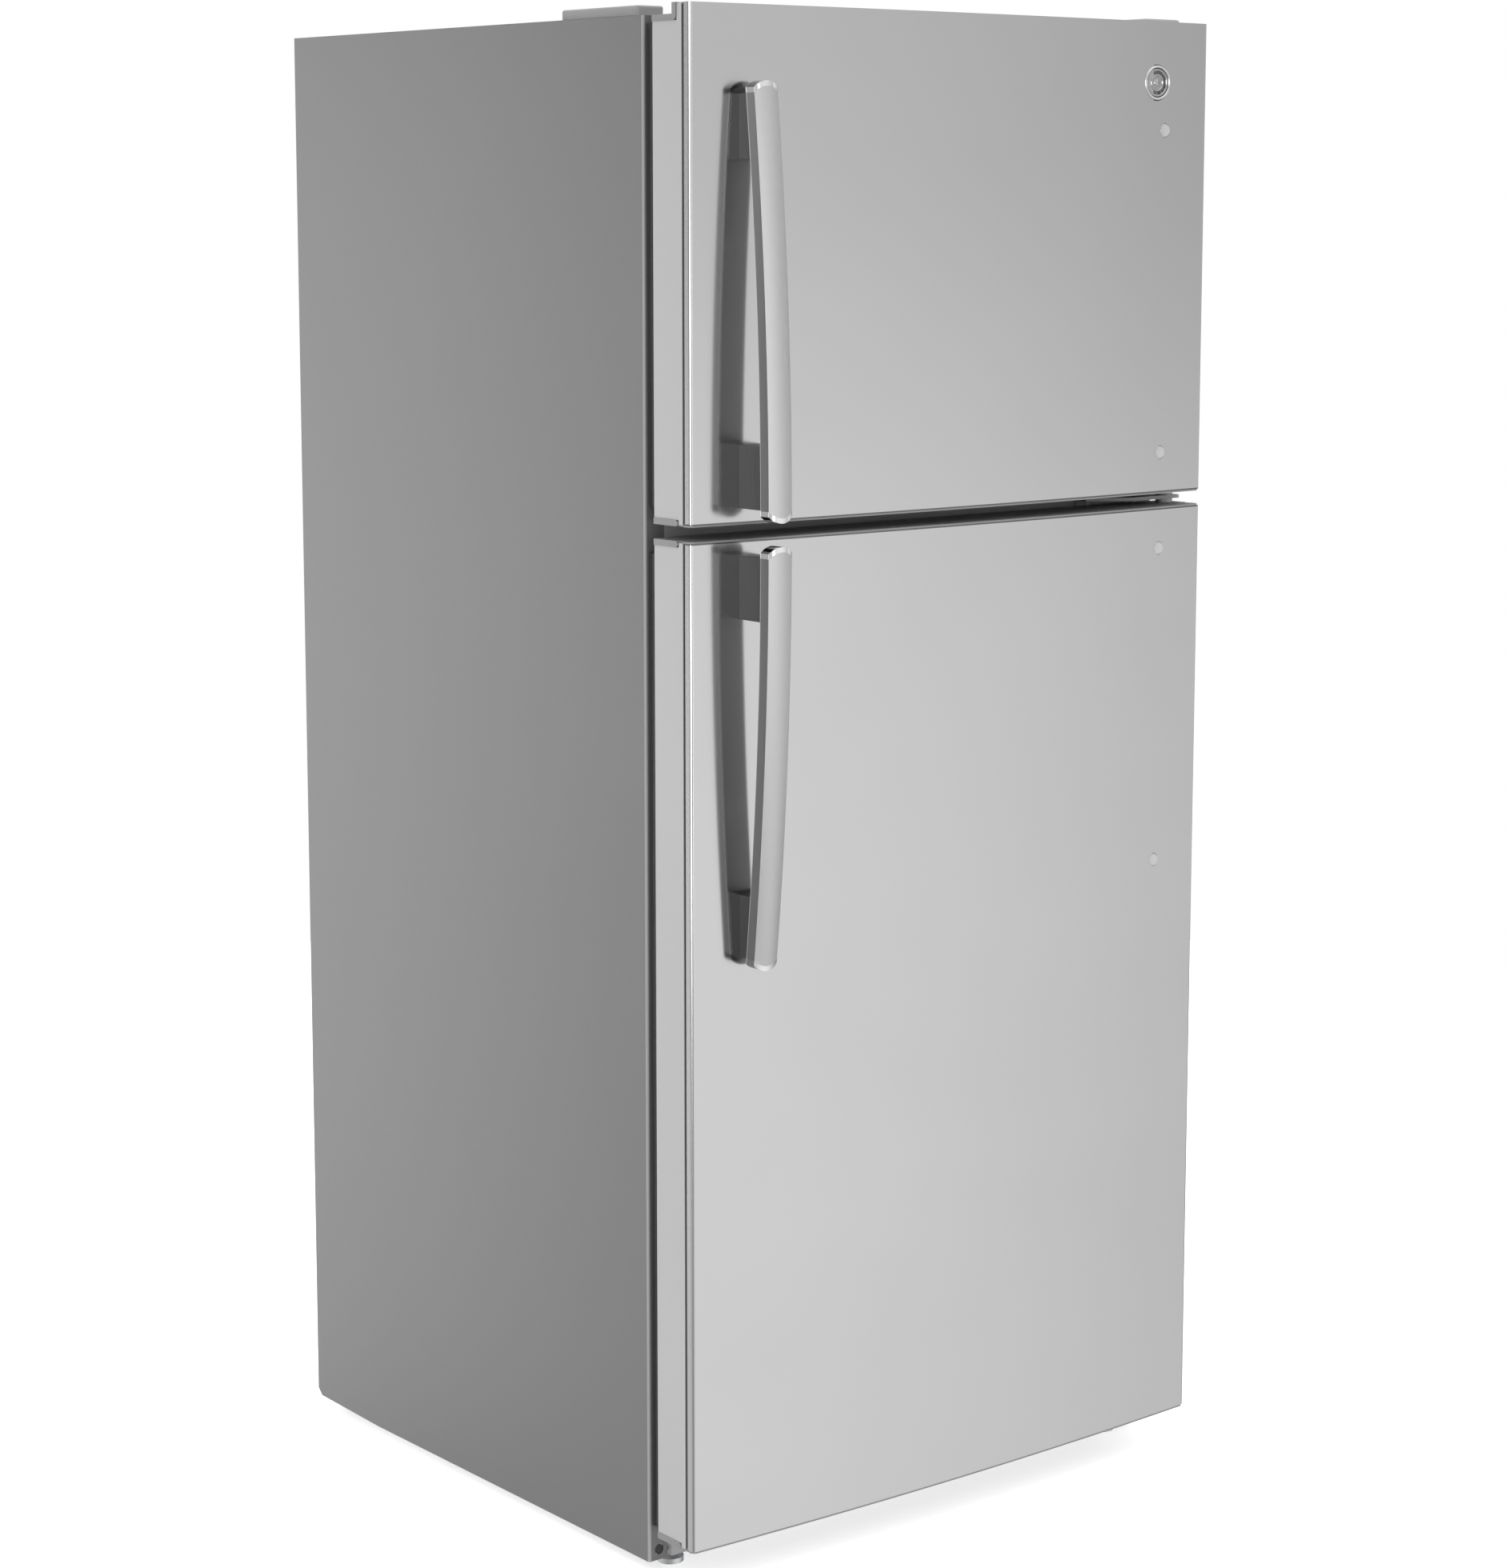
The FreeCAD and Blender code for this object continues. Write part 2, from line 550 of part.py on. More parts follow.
def freezer_inside():
    """Evaporator cover, finned coil, fan motor and blade, and the wire shelf."""
    body = new_body("evaporator_wall")
    face = new_sketch(body, "wall_face", "XZ_Plane", -556)
    rectangle(face, (-317, 317), ("ice_low + 1", "ice_high - 1"))
    pad(body, face, 3, backwards=True)
    vent = new_sketch(body, "wall_vents", "XZ_Plane", -550)
    circle(vent, 0, FAN_Z, 50)
    pocket(body, vent, 20)
    slots = new_sketch(body, "wall_slots", "XZ_Plane", -550)
    for low in (1206, 1610):
        rectangle(slots, (-290, -238), (low, low + 10))
    repeat(body, pocket(body, slots, 20), 528, 9)
    guard = [block(f"guard_bar_{i}", (-51, 51), (556, 559), (FAN_Z - 38 + 19 * i, FAN_Z - 34 + 19 * i))
             for i in range(5)]
    sides = [block(f"wall_side_{i}", (low, high), (559, 618), ("ice_low + 1", "ice_high - 1"))
             for i, (low, high) in enumerate(((-317, -315), (315, 317)))]
    node(fuse("evaporator_cover", [body] + guard + sides), "evaporator_cover")

    tubes = []
    rows = [1226 + 26 * i for i in range(8)]
    for i, height in enumerate(rows):
        for k, depth in enumerate((582, 604)):
            tubes.append(rod(f"coil_tube_{i}_{k}", "x", 4, (-280, depth, height), 560))
    links = [block(f"coil_link_{i}", (x, x + 8), (576, 610), (height - 5, height + 31))
             for i, (height, x) in enumerate(zip(rows[:-1], (272, -280) * 4))]
    fins = [block(f"coil_fin_{i}", (-262 + 25 * i, -261.2 + 25 * i), (572, 614), (1216, 1418))
            for i in range(22)]
    node(fuse("evaporator_coil", tubes + links + fins), "evaporator_coil")

    can = rod("ice_motor_can", "y", 20, (0, 598, FAN_Z), 18)
    shaft = rod("ice_motor_shaft", "y", 2.5, (0, 572, FAN_Z), 28)
    strap = block("ice_motor_strap", (-70, 70), (612, 616), (FAN_Z - 8, FAN_Z + 8))
    motors.append(fuse("evaporator_motor", [can, shaft, strap]))
    node(fan_blades("evaporator_fan", "y", (0, FAN_Y, FAN_Z), 45, 2.56, 14), "evaporator_fan")

    rails = [rod(f"rack_rail_{i}", "x", 3, (-316, y, 1401), 632) for i, y in enumerate((112, 320, 536))]
    wires = [rod(f"rack_wire_{i}", "y", 2, (-308 + 22 * i, 112, 1405), 424) for i in range(29)]
    node(fuse("freezer_shelf", rails + wires), "freezer_shelf")


def fan_blades(name, along, at, reach, bore, depth):
    """Four pitched blades on a hub; the hub's bore runs on the motor shaft."""
    turn = AXIS_TURN[along]
    axis = turn.multVec(FreeCAD.Vector(0, 0, 1))
    centre = FreeCAD.Vector(at[0], at[1] + number("front_y"), at[2])
    hub = Part.makeCylinder(12, depth, centre - axis * (depth / 2), axis)
    solid = hub
    for quarter in range(4):
        blade = Part.makeBox(reach - 8, depth * 1.4, 1.6, FreeCAD.Vector(8, -depth * 0.7, -0.8))
        blade.rotate(FreeCAD.Vector(), FreeCAD.Vector(1, 0, 0), 28)
        blade.rotate(FreeCAD.Vector(), FreeCAD.Vector(0, 0, 1), 90 * quarter)
        blade.Placement = FreeCAD.Placement(centre, turn).multiply(blade.Placement)
        solid = solid.fuse(blade)
    rim = Part.makeCylinder(reach, depth * 2, centre - axis * depth, axis)
    solid = solid.common(rim)
    solid = solid.cut(Part.makeCylinder(bore, depth * 2, centre - axis * depth, axis))
    feature = doc.addObject("Part::Feature", name)
    feature.Shape = solid.removeSplitter()
    return feature


# ---------------------------------------------------------------- inside the fresh food space
DIAL_X = (-70, 70)
DIAL_Z = 1096
HOUSING_FRONT = 135


def fresh_food_inside():
    """Glass shelves in frames, crispers with their cover, and the control housing with its lamp."""
    panes = []
    frames = []
    for height in (CRISPER_COVER,) + SHELF_HEIGHTS:
        panes.append(block(f"pane_{height}", (-316, 316), (126, 588), (height - 2, height + 2)))
        rim = block(f"rim_{height}", (-330, 330), (113, 598), (height - 8, height + 5))
        well = block(f"rim_well_{height}", (-316, 316), (126, 588), (height - 2, height + 8))
        under = block(f"rim_under_{height}", (-306, 306), (136, 578), (height - 20, height))
        frames.append(cut(f"frame_{height}", rim, [well, under]))
    divider = block("crisper_divider", (-2, 2), (130, 398), ("cold_low", CRISPER_COVER - 7))
    bridge = block("crisper_bridge", (-8, 8), (126, 588), (CRISPER_COVER - 8, CRISPER_COVER - 2))
    node(fuse("shelf_glass", panes), "shelf_glass")
    node(fuse("shelf_frames", frames + [divider, bridge]), "shelf_frames")

    for name, low, high in (("crisper_left", -328, -5), ("crisper_right", 5, 328)):
        node(crisper(name, low, high), name)

    shell = block("housing_block", (-200, 200), (HOUSING_FRONT, 430), (1068, "cold_high"))
    hollow = block("housing_hollow", (-196, 196), (HOUSING_FRONT + 4, 426), (1060, 1122))
    housing = fuse("housing_body", [
        cut("housing_shell", shell, [hollow]),
        block("housing_web", (-196, 196), (300, 303), (1068, 1123)),
    ])
    switch = block("switch_block", (232, 262), (26, 66), (1103, "cold_high"))
    switch_arm = block("switch_arm", (196, 262), (60, 145), (1121, "cold_high"))
    bores = [rod(f"dial_bore_{i}", "y", 4.06, (x, HOUSING_FRONT - 5, DIAL_Z), 14)
             for i, x in enumerate(DIAL_X)]
    bores.append(rod("switch_bore", "y", 4.06, (247, 20, 1112), 40))
    node(cut("control_housing", fuse("housing_all", [housing, switch, switch_arm]), bores), "control_housing")

    bulb_side = [(0, 0), (0, 8), (18, 8), (24, 14), (60, 14), (67, 6), (67, 0)]
    bulb = spun("lamp", "YZ_Plane", 0, bulb_side, "H_Axis", {4: (65.2, 10.8)})
    bind(bulb, "Placement.Base.y", "front_y + 222")
    bind(bulb, "Placement.Base.z", 1096)
    node(bulb, "lamp")

    for name, x in zip(("freezer_dial", "fresh_food_dial"), DIAL_X):
        node(dial(name, x), name)
    tip = rod("plunger_tip", "y", 4, (247, "0.4 - door_back", 1112), 26)
    stem = rod("plunger_stem", "y", 4, (247, 8, 1112), 48)
    node(fuse("switch_plunger", [tip, stem]), "switch_plunger")


def crisper(name, low, high):
    """Open drawer with a drafted tub, a rolled rim and a pull lip along its front."""
    body = new_body(name)
    sole = new_sketch(body, name + "_sole", "XY_Plane", "cold_low + 1")
    rectangle(sole, (low + 3, high - 3), (124, 392))
    pad(body, sole, 216)
    rim = new_sketch(body, name + "_rim", "XY_Plane", "cold_low + 211")
    rectangle(rim, (low, high), (122, 396))
    pad(body, rim, 6)
    tub = new_sketch(body, name + "_tub", "XY_Plane", "cold_low + 218")
    rectangle(tub, (low + 5.5, high - 5.5), (127, 389.5))
    pocket(body, tub, 214)
    lip = new_sketch(body, name + "_lip", "YZ_Plane", low + 60)
    outline(lip, [(124, "cold_low + 180"), (124, "cold_low + 211"), (118, "cold_low + 211"),
                  (115, "cold_low + 206"), (115, "cold_low + 200"), (118, "cold_low + 198")])
    pad(body, lip, high - low - 120)
    return body


def dial(name, x):
    """Ribbed control dial on a short spindle that runs in the housing's bore."""
    body = new_body(name)
    disc = new_sketch(body, name + "_disc", "XZ_Plane", -(HOUSING_FRONT - 0.4))
    circle(disc, x, DIAL_Z, 19)
    pad(body, disc, 10)
    grip = new_sketch(body, name + "_grip", "XZ_Plane", -(HOUSING_FRONT - 10))
    rectangle(grip, (x - 3.5, x + 3.5), (DIAL_Z - 17, DIAL_Z + 17))
    pad(body, grip, 9)
    spindle = new_sketch(body, name + "_spindle", "XZ_Plane", -(HOUSING_FRONT - 1))
    circle(spindle, x, DIAL_Z, 4)
    pad(body, spindle, 10, backwards=True)
    return body


# ---------------------------------------------------------------- machine compartment
def machine_room():
    """Compressor on rubber mounts, condenser, its fan, the drain pan and the rear cover."""
    can = spun("compressor_can", "YZ_Plane", 0, [
        (0, 0), (58, 0), (74, 14), (76, 70), (76, 100), (52, 144), (14, 157), (0, 157)], "V_Axis",
        {1: (69, 4), 4: (69, 128), 5: (34, 153)})
    bind(can, "Placement.Base.x", -215)
    bind(can, "Placement.Base.y", "front_y + 565")
    bind(can, "Placement.Base.z", 56)
    foot = block("compressor_foot", (-295, -135), (500, 630), (50, 57))
    tube = rod("compressor_tube", "z", 4, (-141, 565, 60), 160)
    terminal = block("compressor_terminal", (-160, -132), (545, 585), (100, 140))
    mounts = [rod(f"mount_{i}", "z", 9, (x, y, "deck_high"), "50.2 - deck_high")
              for i, (x, y) in enumerate(((-285, 510), (-145, 510), (-285, 620), (-145, 620)))]
    node(fuse("compressor", [can, foot, tube, terminal] + mounts), "compressor")

    column_x = [130 + 45 * column for column in range(4)]
    row_z = [82 + 26 * row for row in range(7)]
    runs = [rod(f"cond_run_{row}_{column}", "y", 3, (x, 470, z), 190)
            for row, z in enumerate(row_z) for column, x in enumerate(column_x)]
    bends = []
    for column, x in enumerate(column_x):
        for row, z in enumerate(row_z[:-1]):
            y = (654, 470)[row % 2]
            bends.append(block(f"cond_bend_{column}_{row}", (x - 4, x + 4), (y, y + 6), (z - 4, z + 30)))
    tie_y = (500, 620)
    ties = [block(f"cond_tie_{i}", (124, 271), (y, y + 6), (72, 76)) for i, y in enumerate(tie_y)]
    posts = [block(f"cond_post_{i}_{k}", (x - 4, x + 4), (y, y + 6), (72, 84))
             for i, y in enumerate(tie_y) for k, x in enumerate(column_x)]
    shelf = [block(f"cond_foot_{i}", (x, x + 4), (500, 626), ("deck_high", 76))
             for i, x in enumerate((120, 271))]
    node(fuse("condenser_coil", runs + bends + ties + posts + shelf), "condenser_coil")

    motor_can = rod("cond_motor_can", "x", 26, (-60, 565, 160), 46)
    motor_shaft = rod("cond_motor_shaft", "x", 3, (-20, 565, 160), 46)
    stand = block("cond_motor_stand", (-50, -30), (555, 575), ("deck_high", 140))
    motors.append(fuse("condenser_motor", [motor_can, motor_shaft, stand]))
    node(fuse("fan_motors", motors), "fan_motors")
    node(fan_blades("condenser_fan", "x", (14, 565, 160), 62, 3.06, 20), "condenser_fan")

    pan = cut("drain_pan", block("pan_block", (136, 262), (508, 618), ("deck_high", 62)),
              [block("pan_room", (138, 260), (510, 616), ("deck_high + 2", 70))])
    node(pan, "drain_pan")

    body = new_body("rear_cover")
    face = new_sketch(body, "rear_cover_face", "XZ_Plane", "-(case_depth - 4.5)")
    rectangle(face, (-372, 372), ("deck_low + 6", "machine_high - 2"))
    pad(body, face, 1.5, backwards=True)
    inlet = new_sketch(body, "rear_cover_inlet", "XZ_Plane", "-(case_depth - 8)")
    circle(inlet, -300, 90, 9.05)
    pocket(body, inlet, 12)
    vents = new_sketch(body, "rear_cover_vents", "XZ_Plane", "-(case_depth - 8)")
    for low in (190, 210, 230):
        rectangle(vents, (-330, -300), (low, low + 5))
    repeat(body, pocket(body, vents, 12), 15 * 42, 16)
    node(body, "machine_cover")
    gland_side = [(-8, 4), (-8, 14), (-2, 14), (-2, 9), (3, 9), (3, 4)]
    gland = spun("cord_inlet", "YZ_Plane", 0, gland_side, "H_Axis")
    bind(gland, "Placement.Base.x", -300)
    bind(gland, "Placement.Base.y", "front_y + case_depth - 3")
    bind(gland, "Placement.Base.z", 90)
    node(gland, "cord_inlet")


# ---------------------------------------------------------------- rollers and legs
def floor_gear():
    for name, x in zip(("rear_roller_left", "rear_roller_right"), ROLLER_X):
        wheel = spun(name, "XZ_Plane", 0, [
            (-9, 4.06), (-9, 14), (-6.5, ROLLER_R), (6.5, ROLLER_R), (9, 14), (9, 4.06)], "H_Axis")
        bind(wheel, "Placement.Base.x", x)
        bind(wheel, "Placement.Base.y", f"front_y + {ROLLER_Y}")
        bind(wheel, "Placement.Base.z", ROLLER_R)
        node(wheel, name)
    for name, x in zip(("leveling_leg_left", "leveling_leg_right"), (-LEG_X, LEG_X)):
        leg = spun(name, "XZ_Plane", 0, [
            (0, 0), (15, 0), (15, 6), (9, 10), (9, 16), (5, 16), (5, 78), (0, 78)], "V_Axis")
        bind(leg, "Placement.Base.x", x)
        bind(leg, "Placement.Base.y", f"front_y + {LEG_Y}")
        node(leg, name)


# ---------------------------------------------------------------- doors
def bowed(name, inset, back, low, high, corner=0):
    """Plan outline of a door, set in from its outer face all round, between two heights."""
    half = f"(case_half - {inset})"
    at_corner = f"(door_edge - {inset} + bow * (1 - (({half} - {corner}) / case_half) ^ 2))"
    points = [(f"-{half}", back), (half, back)]
    if corner:
        points += [(half, f"{corner} - door_edge + {inset}"), (f"{half} - {corner}", f"-{at_corner}"),
                   (f"{corner} - {half}", f"-{at_corner}"), (f"-{half}", f"{corner} - door_edge + {inset}")]
        arc_side = 3
    else:
        points += [(half, f"{inset} - door_edge"), (f"-{half}", f"{inset} - door_edge")]
        arc_side = 2
    arcs = {arc_side: (0, f"{inset} - door_edge - bow")}
    return plate(name, "XY_Plane", low, f"({high}) - ({low})", points, arcs)


def door_skin(prefix, low, high):
    """Stainless front sheet, bowed in plan, with rounded corners and short side returns."""
    outer = bowed(prefix + "_skin_outer", 0, "-(seam + 4)", low, high)
    doc.recompute()
    corners = [f"Edge{i}" for i, e in enumerate(outer.Shape.Edges, start=1)
               if runs_along(e, (0, 0, 1)) and e.CenterOfMass.y < number("front_y - door_edge + 1")]
    round_off(outer, prefix + "_skin_corners", corners, 4)
    inner = bowed(prefix + "_skin_inner", "skin", "5 - seam", f"({low}) - 1", f"({high}) + 1", 4)
    node(cut(prefix + "_skin", outer, [inner]), prefix + "_skin")


def side_trims(prefix, low, high, top_step):
    """Painted strips down both sides of the door, from its back to the seam."""
    top = f"({high}) - cap"
    points = [("-door_back", f"({low}) + cap"), ("-door_back", top)]
    if top_step:
        points = [("-door_back", f"({low}) + cap"), ("-door_back", "ledge_high - cap"),
                  (-58, "ledge_high - cap"), (-58, f"({high}) - 1")]
    else:
        points += [(-59, top), (-59, f"({high}) - 1.8")]
    points += [("-seam", points[-1][1]), ("-seam", f"({low}) + 1.8"), (-59, f"({low}) + 1.8"),
               (-59, f"({low}) + cap")]
    strips = []
    for side, start in (("left", "-case_half"), ("right", "case_half - trim")):
        strips.append(plate(f"{prefix}_{side}_strip", "YZ_Plane", start, "trim", points))
    node(fuse(prefix + "_side_trims", strips), prefix + "_side_trims")


def bead(name, points):
    """Raised end of a cap along both door sides, from its outline in side view."""
    return [plate(f"{name}_{side}", "YZ_Plane", start, 4, points)
            for side, start in (("left", "-case_half - 1"), ("right", "case_half - 3"))]


def flat_cap(prefix, which, low, high, lip_low):
    """Plastic end cap with a thin lip under the skin and a bead along each side."""
    core = bowed(f"{prefix}_{which}_core", "trim", "-door_back", low, high, 4)
    lip = bowed(f"{prefix}_{which}_lip", 0.2, "-seam - 0.5", lip_low, f"{lip_low} + 1.8", 4)
    beads = bead(f"{prefix}_{which}_bead", [
        ("-door_back", low), ("-door_back", high), (-55.5, high), (-58.5, f"({low}) + 3.35"), (-55.5, low)])
    bore = rod(f"{prefix}_{which}_bore", "z", "pin_r + pin_play", ("pin_x", "-pin_y", f"({low}) - 1"),
               "cap + 2")
    return cut(f"{prefix}_{which}_cap", fuse(f"{prefix}_{which}_cap_solid", [core, lip] + beads), [bore])


def stepped_cap(prefix, high):
    """Top cap of the upper door: a low rear ledge that the hinge passes over, and a high front."""
    profile = plate(f"{prefix}_step_profile", "YZ_Plane", "trim - case_half", "2 * (case_half - trim)", [
        ("-door_back", "ledge_high - cap"), ("-door_back", "ledge_high"), (-51, "ledge_high"),
        (-51, f"({high}) - 0.4"), (-95, f"({high}) - 0.4"), (-95, "ledge_high - cap")])
    limits = bowed(f"{prefix}_step_limits", "trim", 0, 1680, 1710, 4)
    core = common(f"{prefix}_step_core", profile, limits)
    beads = bead(f"{prefix}_step_bead", [
        ("-door_back", "ledge_high - cap"), ("-door_back", "ledge_high"), (-51, "ledge_high"),
        (-51, high), (-57.6, high), (-57.6, "ledge_high - 3"), (-54, "ledge_high - cap")])
    bore = rod(f"{prefix}_step_bore", "z", "pin_r + pin_play", ("pin_x", "-pin_y", "ledge_high - cap - 1"),
               20)
    return cut(f"{prefix}_top_cap", fuse(f"{prefix}_step_solid", [core] + beads), [bore])


DIKE_DEEP = 46
DAIRY_Y = -6
DAIRY_Z = 984


def door_inside(prefix, low, high, half, frame_low, frame_high, bores):
    """Inner liner with its raised frame, the foam behind it and the magnetic gasket around it."""
    sheet = block(f"{prefix}_sheet", ("trim - case_half", "case_half - trim"),
                  ("-door_back - liner", "-door_back"), (f"({low}) + cap", f"({high}) - cap"))
    ring = block(f"{prefix}_ring", (f"-{half}", half), ("-door_back - 1", DIKE_DEEP), (frame_low, frame_high))
    ring_soft = softened(f"{prefix}_ring_soft", ring, 8, lambda e: runs_along(e, (0, 1, 0), 20))
    well = block(f"{prefix}_well", (f"26 - {half}", f"{half} - 26"), ("-door_back", 80),
                 (frame_low + 22, frame_high - 22))
    raised = cut(f"{prefix}_frame", ring_soft, [well] + bores)
    node(fuse(prefix + "_liner", [sheet, raised]), prefix + "_liner")

    core = bowed(prefix + "_foam_core", "trim", "-door_back - liner", f"({low}) + cap", f"({high}) - cap", 4)
    node(core, prefix + "_foam")

    seal = [("case_half - 17", 17), ("case_half - 31", 31)]
    rings = [block(f"{prefix}_seal_{i}", (f"-({x})", x), ("-door_back", -0.4),
                   (f"({low}) + {edge}", f"({high}) - {edge}")) for i, (x, edge) in enumerate(seal)]
    node(cut(prefix + "_gasket", rings[0], [rings[1]]), prefix + "_gasket")


def bin_shell(name, half, low, high, deep):
    """Open-topped door bin with a lower front than back."""
    body = new_body(name)
    side = new_sketch(body, name + "_side", "YZ_Plane", -half)
    outline(side, [(-15, low), (-15, high), (deep - 14, high), (deep, high - 12), (deep - 8, low)])
    pad(body, side, 2 * half)
    room = new_sketch(body, name + "_room", "XY_Plane", high + 1)
    rectangle(room, (2.5 - half, half - 2.5), (-12.5, deep - 11))
    pocket(body, room, high - low - 2)
    return body


def bar_sweep(name, section_name, split, turns_up, points, arcs=None):
    """An outline in plan at the bar's split end, swept along the bar's long arc."""
    body = new_body(name)
    section = new_sketch(body, section_name, "XY_Plane", split)
    bind(section, "AttachmentOffset.Base.y", "grip_bend - grip_reach")
    outline(section, points, arcs)
    turn = body.newObject("PartDesign::Revolution", name + "_turn")
    turn.Profile = section
    turn.ReferenceAxis = (section, ["H_Axis"])
    turn.Angle = 7.0
    turn.Reversed = turns_up
    return body


GRIP_SAG = 7                # how far the bar's ends stand out at the middle, seen from the front
BRIGHT_END = 5.5            # length of the bright crescent at each end
POST_START = 13             # standoffs, counted from the bar's ends
POST_HALF = "grip_half - 1.5"
POST_STOP = 80


def handle(prefix, split, far):
    """Bowed bar on two standoffs, with a bright crescent at each end.

    The bar's arc is tangent to the door at its split end, next to the other door, and comes
    closer to the door towards its far end.
    """
    way = 1 if far > split else -1
    long = number("grip_long")
    left, right = "grip_x - grip_half", "grip_x + grip_half"
    near, side = "-(grip_bend - grip_crown - grip_body)", "-(grip_bend - grip_crown)"

    def bar(name):
        corners = [(left, near), (right, near), (right, side), (left, side)]
        return bar_sweep(f"{prefix}_{name}", f"{prefix}_{name}_section", split, way > 0, corners,
                         {2: ("grip_x", "-grip_bend")})

    def between(name, trim):
        """Everything between the bar's two curved ends, each set in by trim."""
        start = split + way * trim
        stop = split + way * (long - trim)
        corners = [(left, start + way * GRIP_SAG), (right, start + way * GRIP_SAG),
                   (right, stop - way * GRIP_SAG), (left, stop - way * GRIP_SAG)]
        return plate(f"{prefix}_{name}", "XZ_Plane", 60, 120, corners,
                     {0: ("grip_x", start), 2: ("grip_x", stop)})

    grip = common(prefix + "_grip", bar("bar"), between("middle", BRIGHT_END))
    whole = common(prefix + "_whole", bar("full_bar"), between("full_length", 0))
    node(cut(prefix + "_end_caps", whole, [between("bright_ends", BRIGHT_END)]), prefix + "_end_caps")

    inner = "grip_reach - grip_crown - grip_body"
    posts = []
    spans = (("split", POST_START, POST_STOP), ("far", long - POST_STOP, long - POST_START))
    for which, start, stop in spans:
        low, high = sorted((split + way * start, split + way * stop))
        posts.append(block(f"{prefix}_{which}_post", (f"grip_x - ({POST_HALF})", f"grip_x + {POST_HALF}"),
                           (f"-({inner}) - 1", "-(door_edge - 2)"), (low, high)))
    back = "-(grip_bend - grip_crown - 6)"
    beyond = bar_sweep(prefix + "_beyond", prefix + "_beyond_section", split, way > 0, [
        ("grip_x - 40", back), ("grip_x + 40", back), ("grip_x + 40", "-grip_bend - 30"),
        ("grip_x - 40", "-grip_bend - 30")])
    door = bowed(prefix + "_door_face", -0.1, 0, min(split, far) - 20, max(split, far) + 20)
    feet = cut(prefix + "_feet", fuse(prefix + "_posts", posts), [beyond, door])
    node(fuse(prefix, [grip, feet]), prefix)


def doors():
    upper, lower = "freezer_door", "fresh_food_door"
    door_skin(upper, "door_gap_high + 2", "door_high - 0.3")
    side_trims(upper, "door_gap_high", "door_high", True)
    node(stepped_cap(upper, "door_high"), upper + "_top_cap")
    bottom = flat_cap(upper, "bottom", "door_gap_high", "door_gap_high + cap", "door_gap_high")
    node(bottom, upper + "_bottom_cap")
    door_inside(upper, "door_gap_high", "ledge_high", 306, 1202, 1625, [])
    bins = [bin_shell(f"freezer_bin_{i}", 270, z, z + 95, 84) for i, z in enumerate((1246, 1440))]
    node(fuse("freezer_door_bins", bins), "freezer_door_bins")
    handle("freezer_handle", number("door_gap_high") + 4.5, number("door_gap_high") + 460)

    door_skin(lower, "door_low + 2", "door_gap_low - 2")
    side_trims(lower, "door_low", "door_gap_low", False)
    top = flat_cap(lower, "top", "door_gap_low - cap", "door_gap_low", "(door_gap_low - 1.8)")
    node(top, lower + "_top_cap")
    node(flat_cap(lower, "bottom", "door_low", "door_low + cap", "door_low"), lower + "_bottom_cap")
    lid_bores = [rod(f"dairy_bore_{i}", "x", 3.06, (x, DAIRY_Y, DAIRY_Z), 7)
                 for i, x in enumerate((-298, 291))]
    door_inside(lower, "door_low", "door_gap_low", 318, 114, 1098, lid_bores)
    bins = [bin_shell(f"fresh_bin_{i}", 282, z, z + high, 78)
            for i, (z, high) in enumerate(((138, 125), (400, 110), (650, 100)))]
    tray = bin_shell("dairy_tray", 282, DAIRY_Z - 73, DAIRY_Z - 6, 66)
    node(fuse("fresh_food_door_bins", bins + [tray]), "fresh_food_door_bins")
    lid_top = block("dairy_lid_top", (-284, 284), (DAIRY_Y - 3, 74), (DAIRY_Z - 1.2, DAIRY_Z + 1.2))
    lid_front = block("dairy_lid_front", (-284, 284), (71.5, 74), (DAIRY_Z - 64, DAIRY_Z))
    lid_pins = [rod(f"dairy_pin_{i}", "x", 3, (x, DAIRY_Y, DAIRY_Z), 14) for i, x in enumerate((-297, 283))]
    node(fuse("dairy_cover", [lid_top, lid_front] + lid_pins), "dairy_cover")
    handle("fresh_food_handle", number("door_gap_low") - 4.5, number("door_gap_low") - 460)


# ---------------------------------------------------------------- build, test and write
case_shell()
back_panel()
cabinet_foam()
freezer_liner()
fresh_food_liner()
center_rail()
base_frame()
base_grille()
top_fittings()
lower_hinges()
hinge_screws()
freezer_inside()
fresh_food_inside()
machine_room()
floor_gear()
doors()
doc.recompute()

for thing in doc.Objects:
    assert "Invalid" not in thing.State and "Error" not in thing.State, (thing.Name, thing.State)
for feature in pockets:
    assert feature.Shape.Volume < feature.BaseFeature.Shape.Volume - 1, f"{feature.Name} cuts nothing"
os.makedirs("parts", exist_ok=True)
for piece in nodes:
    shape = piece.Shape
    assert not shape.isNull() and shape.isValid(), piece.Label
    shape.exportStep(f"parts/{piece.Label}.step")
print(len(nodes), "sub-parts")
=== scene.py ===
"""Looks of the top freezer refrigerator: materials, trim, gaskets, light and camera."""
import json
import math

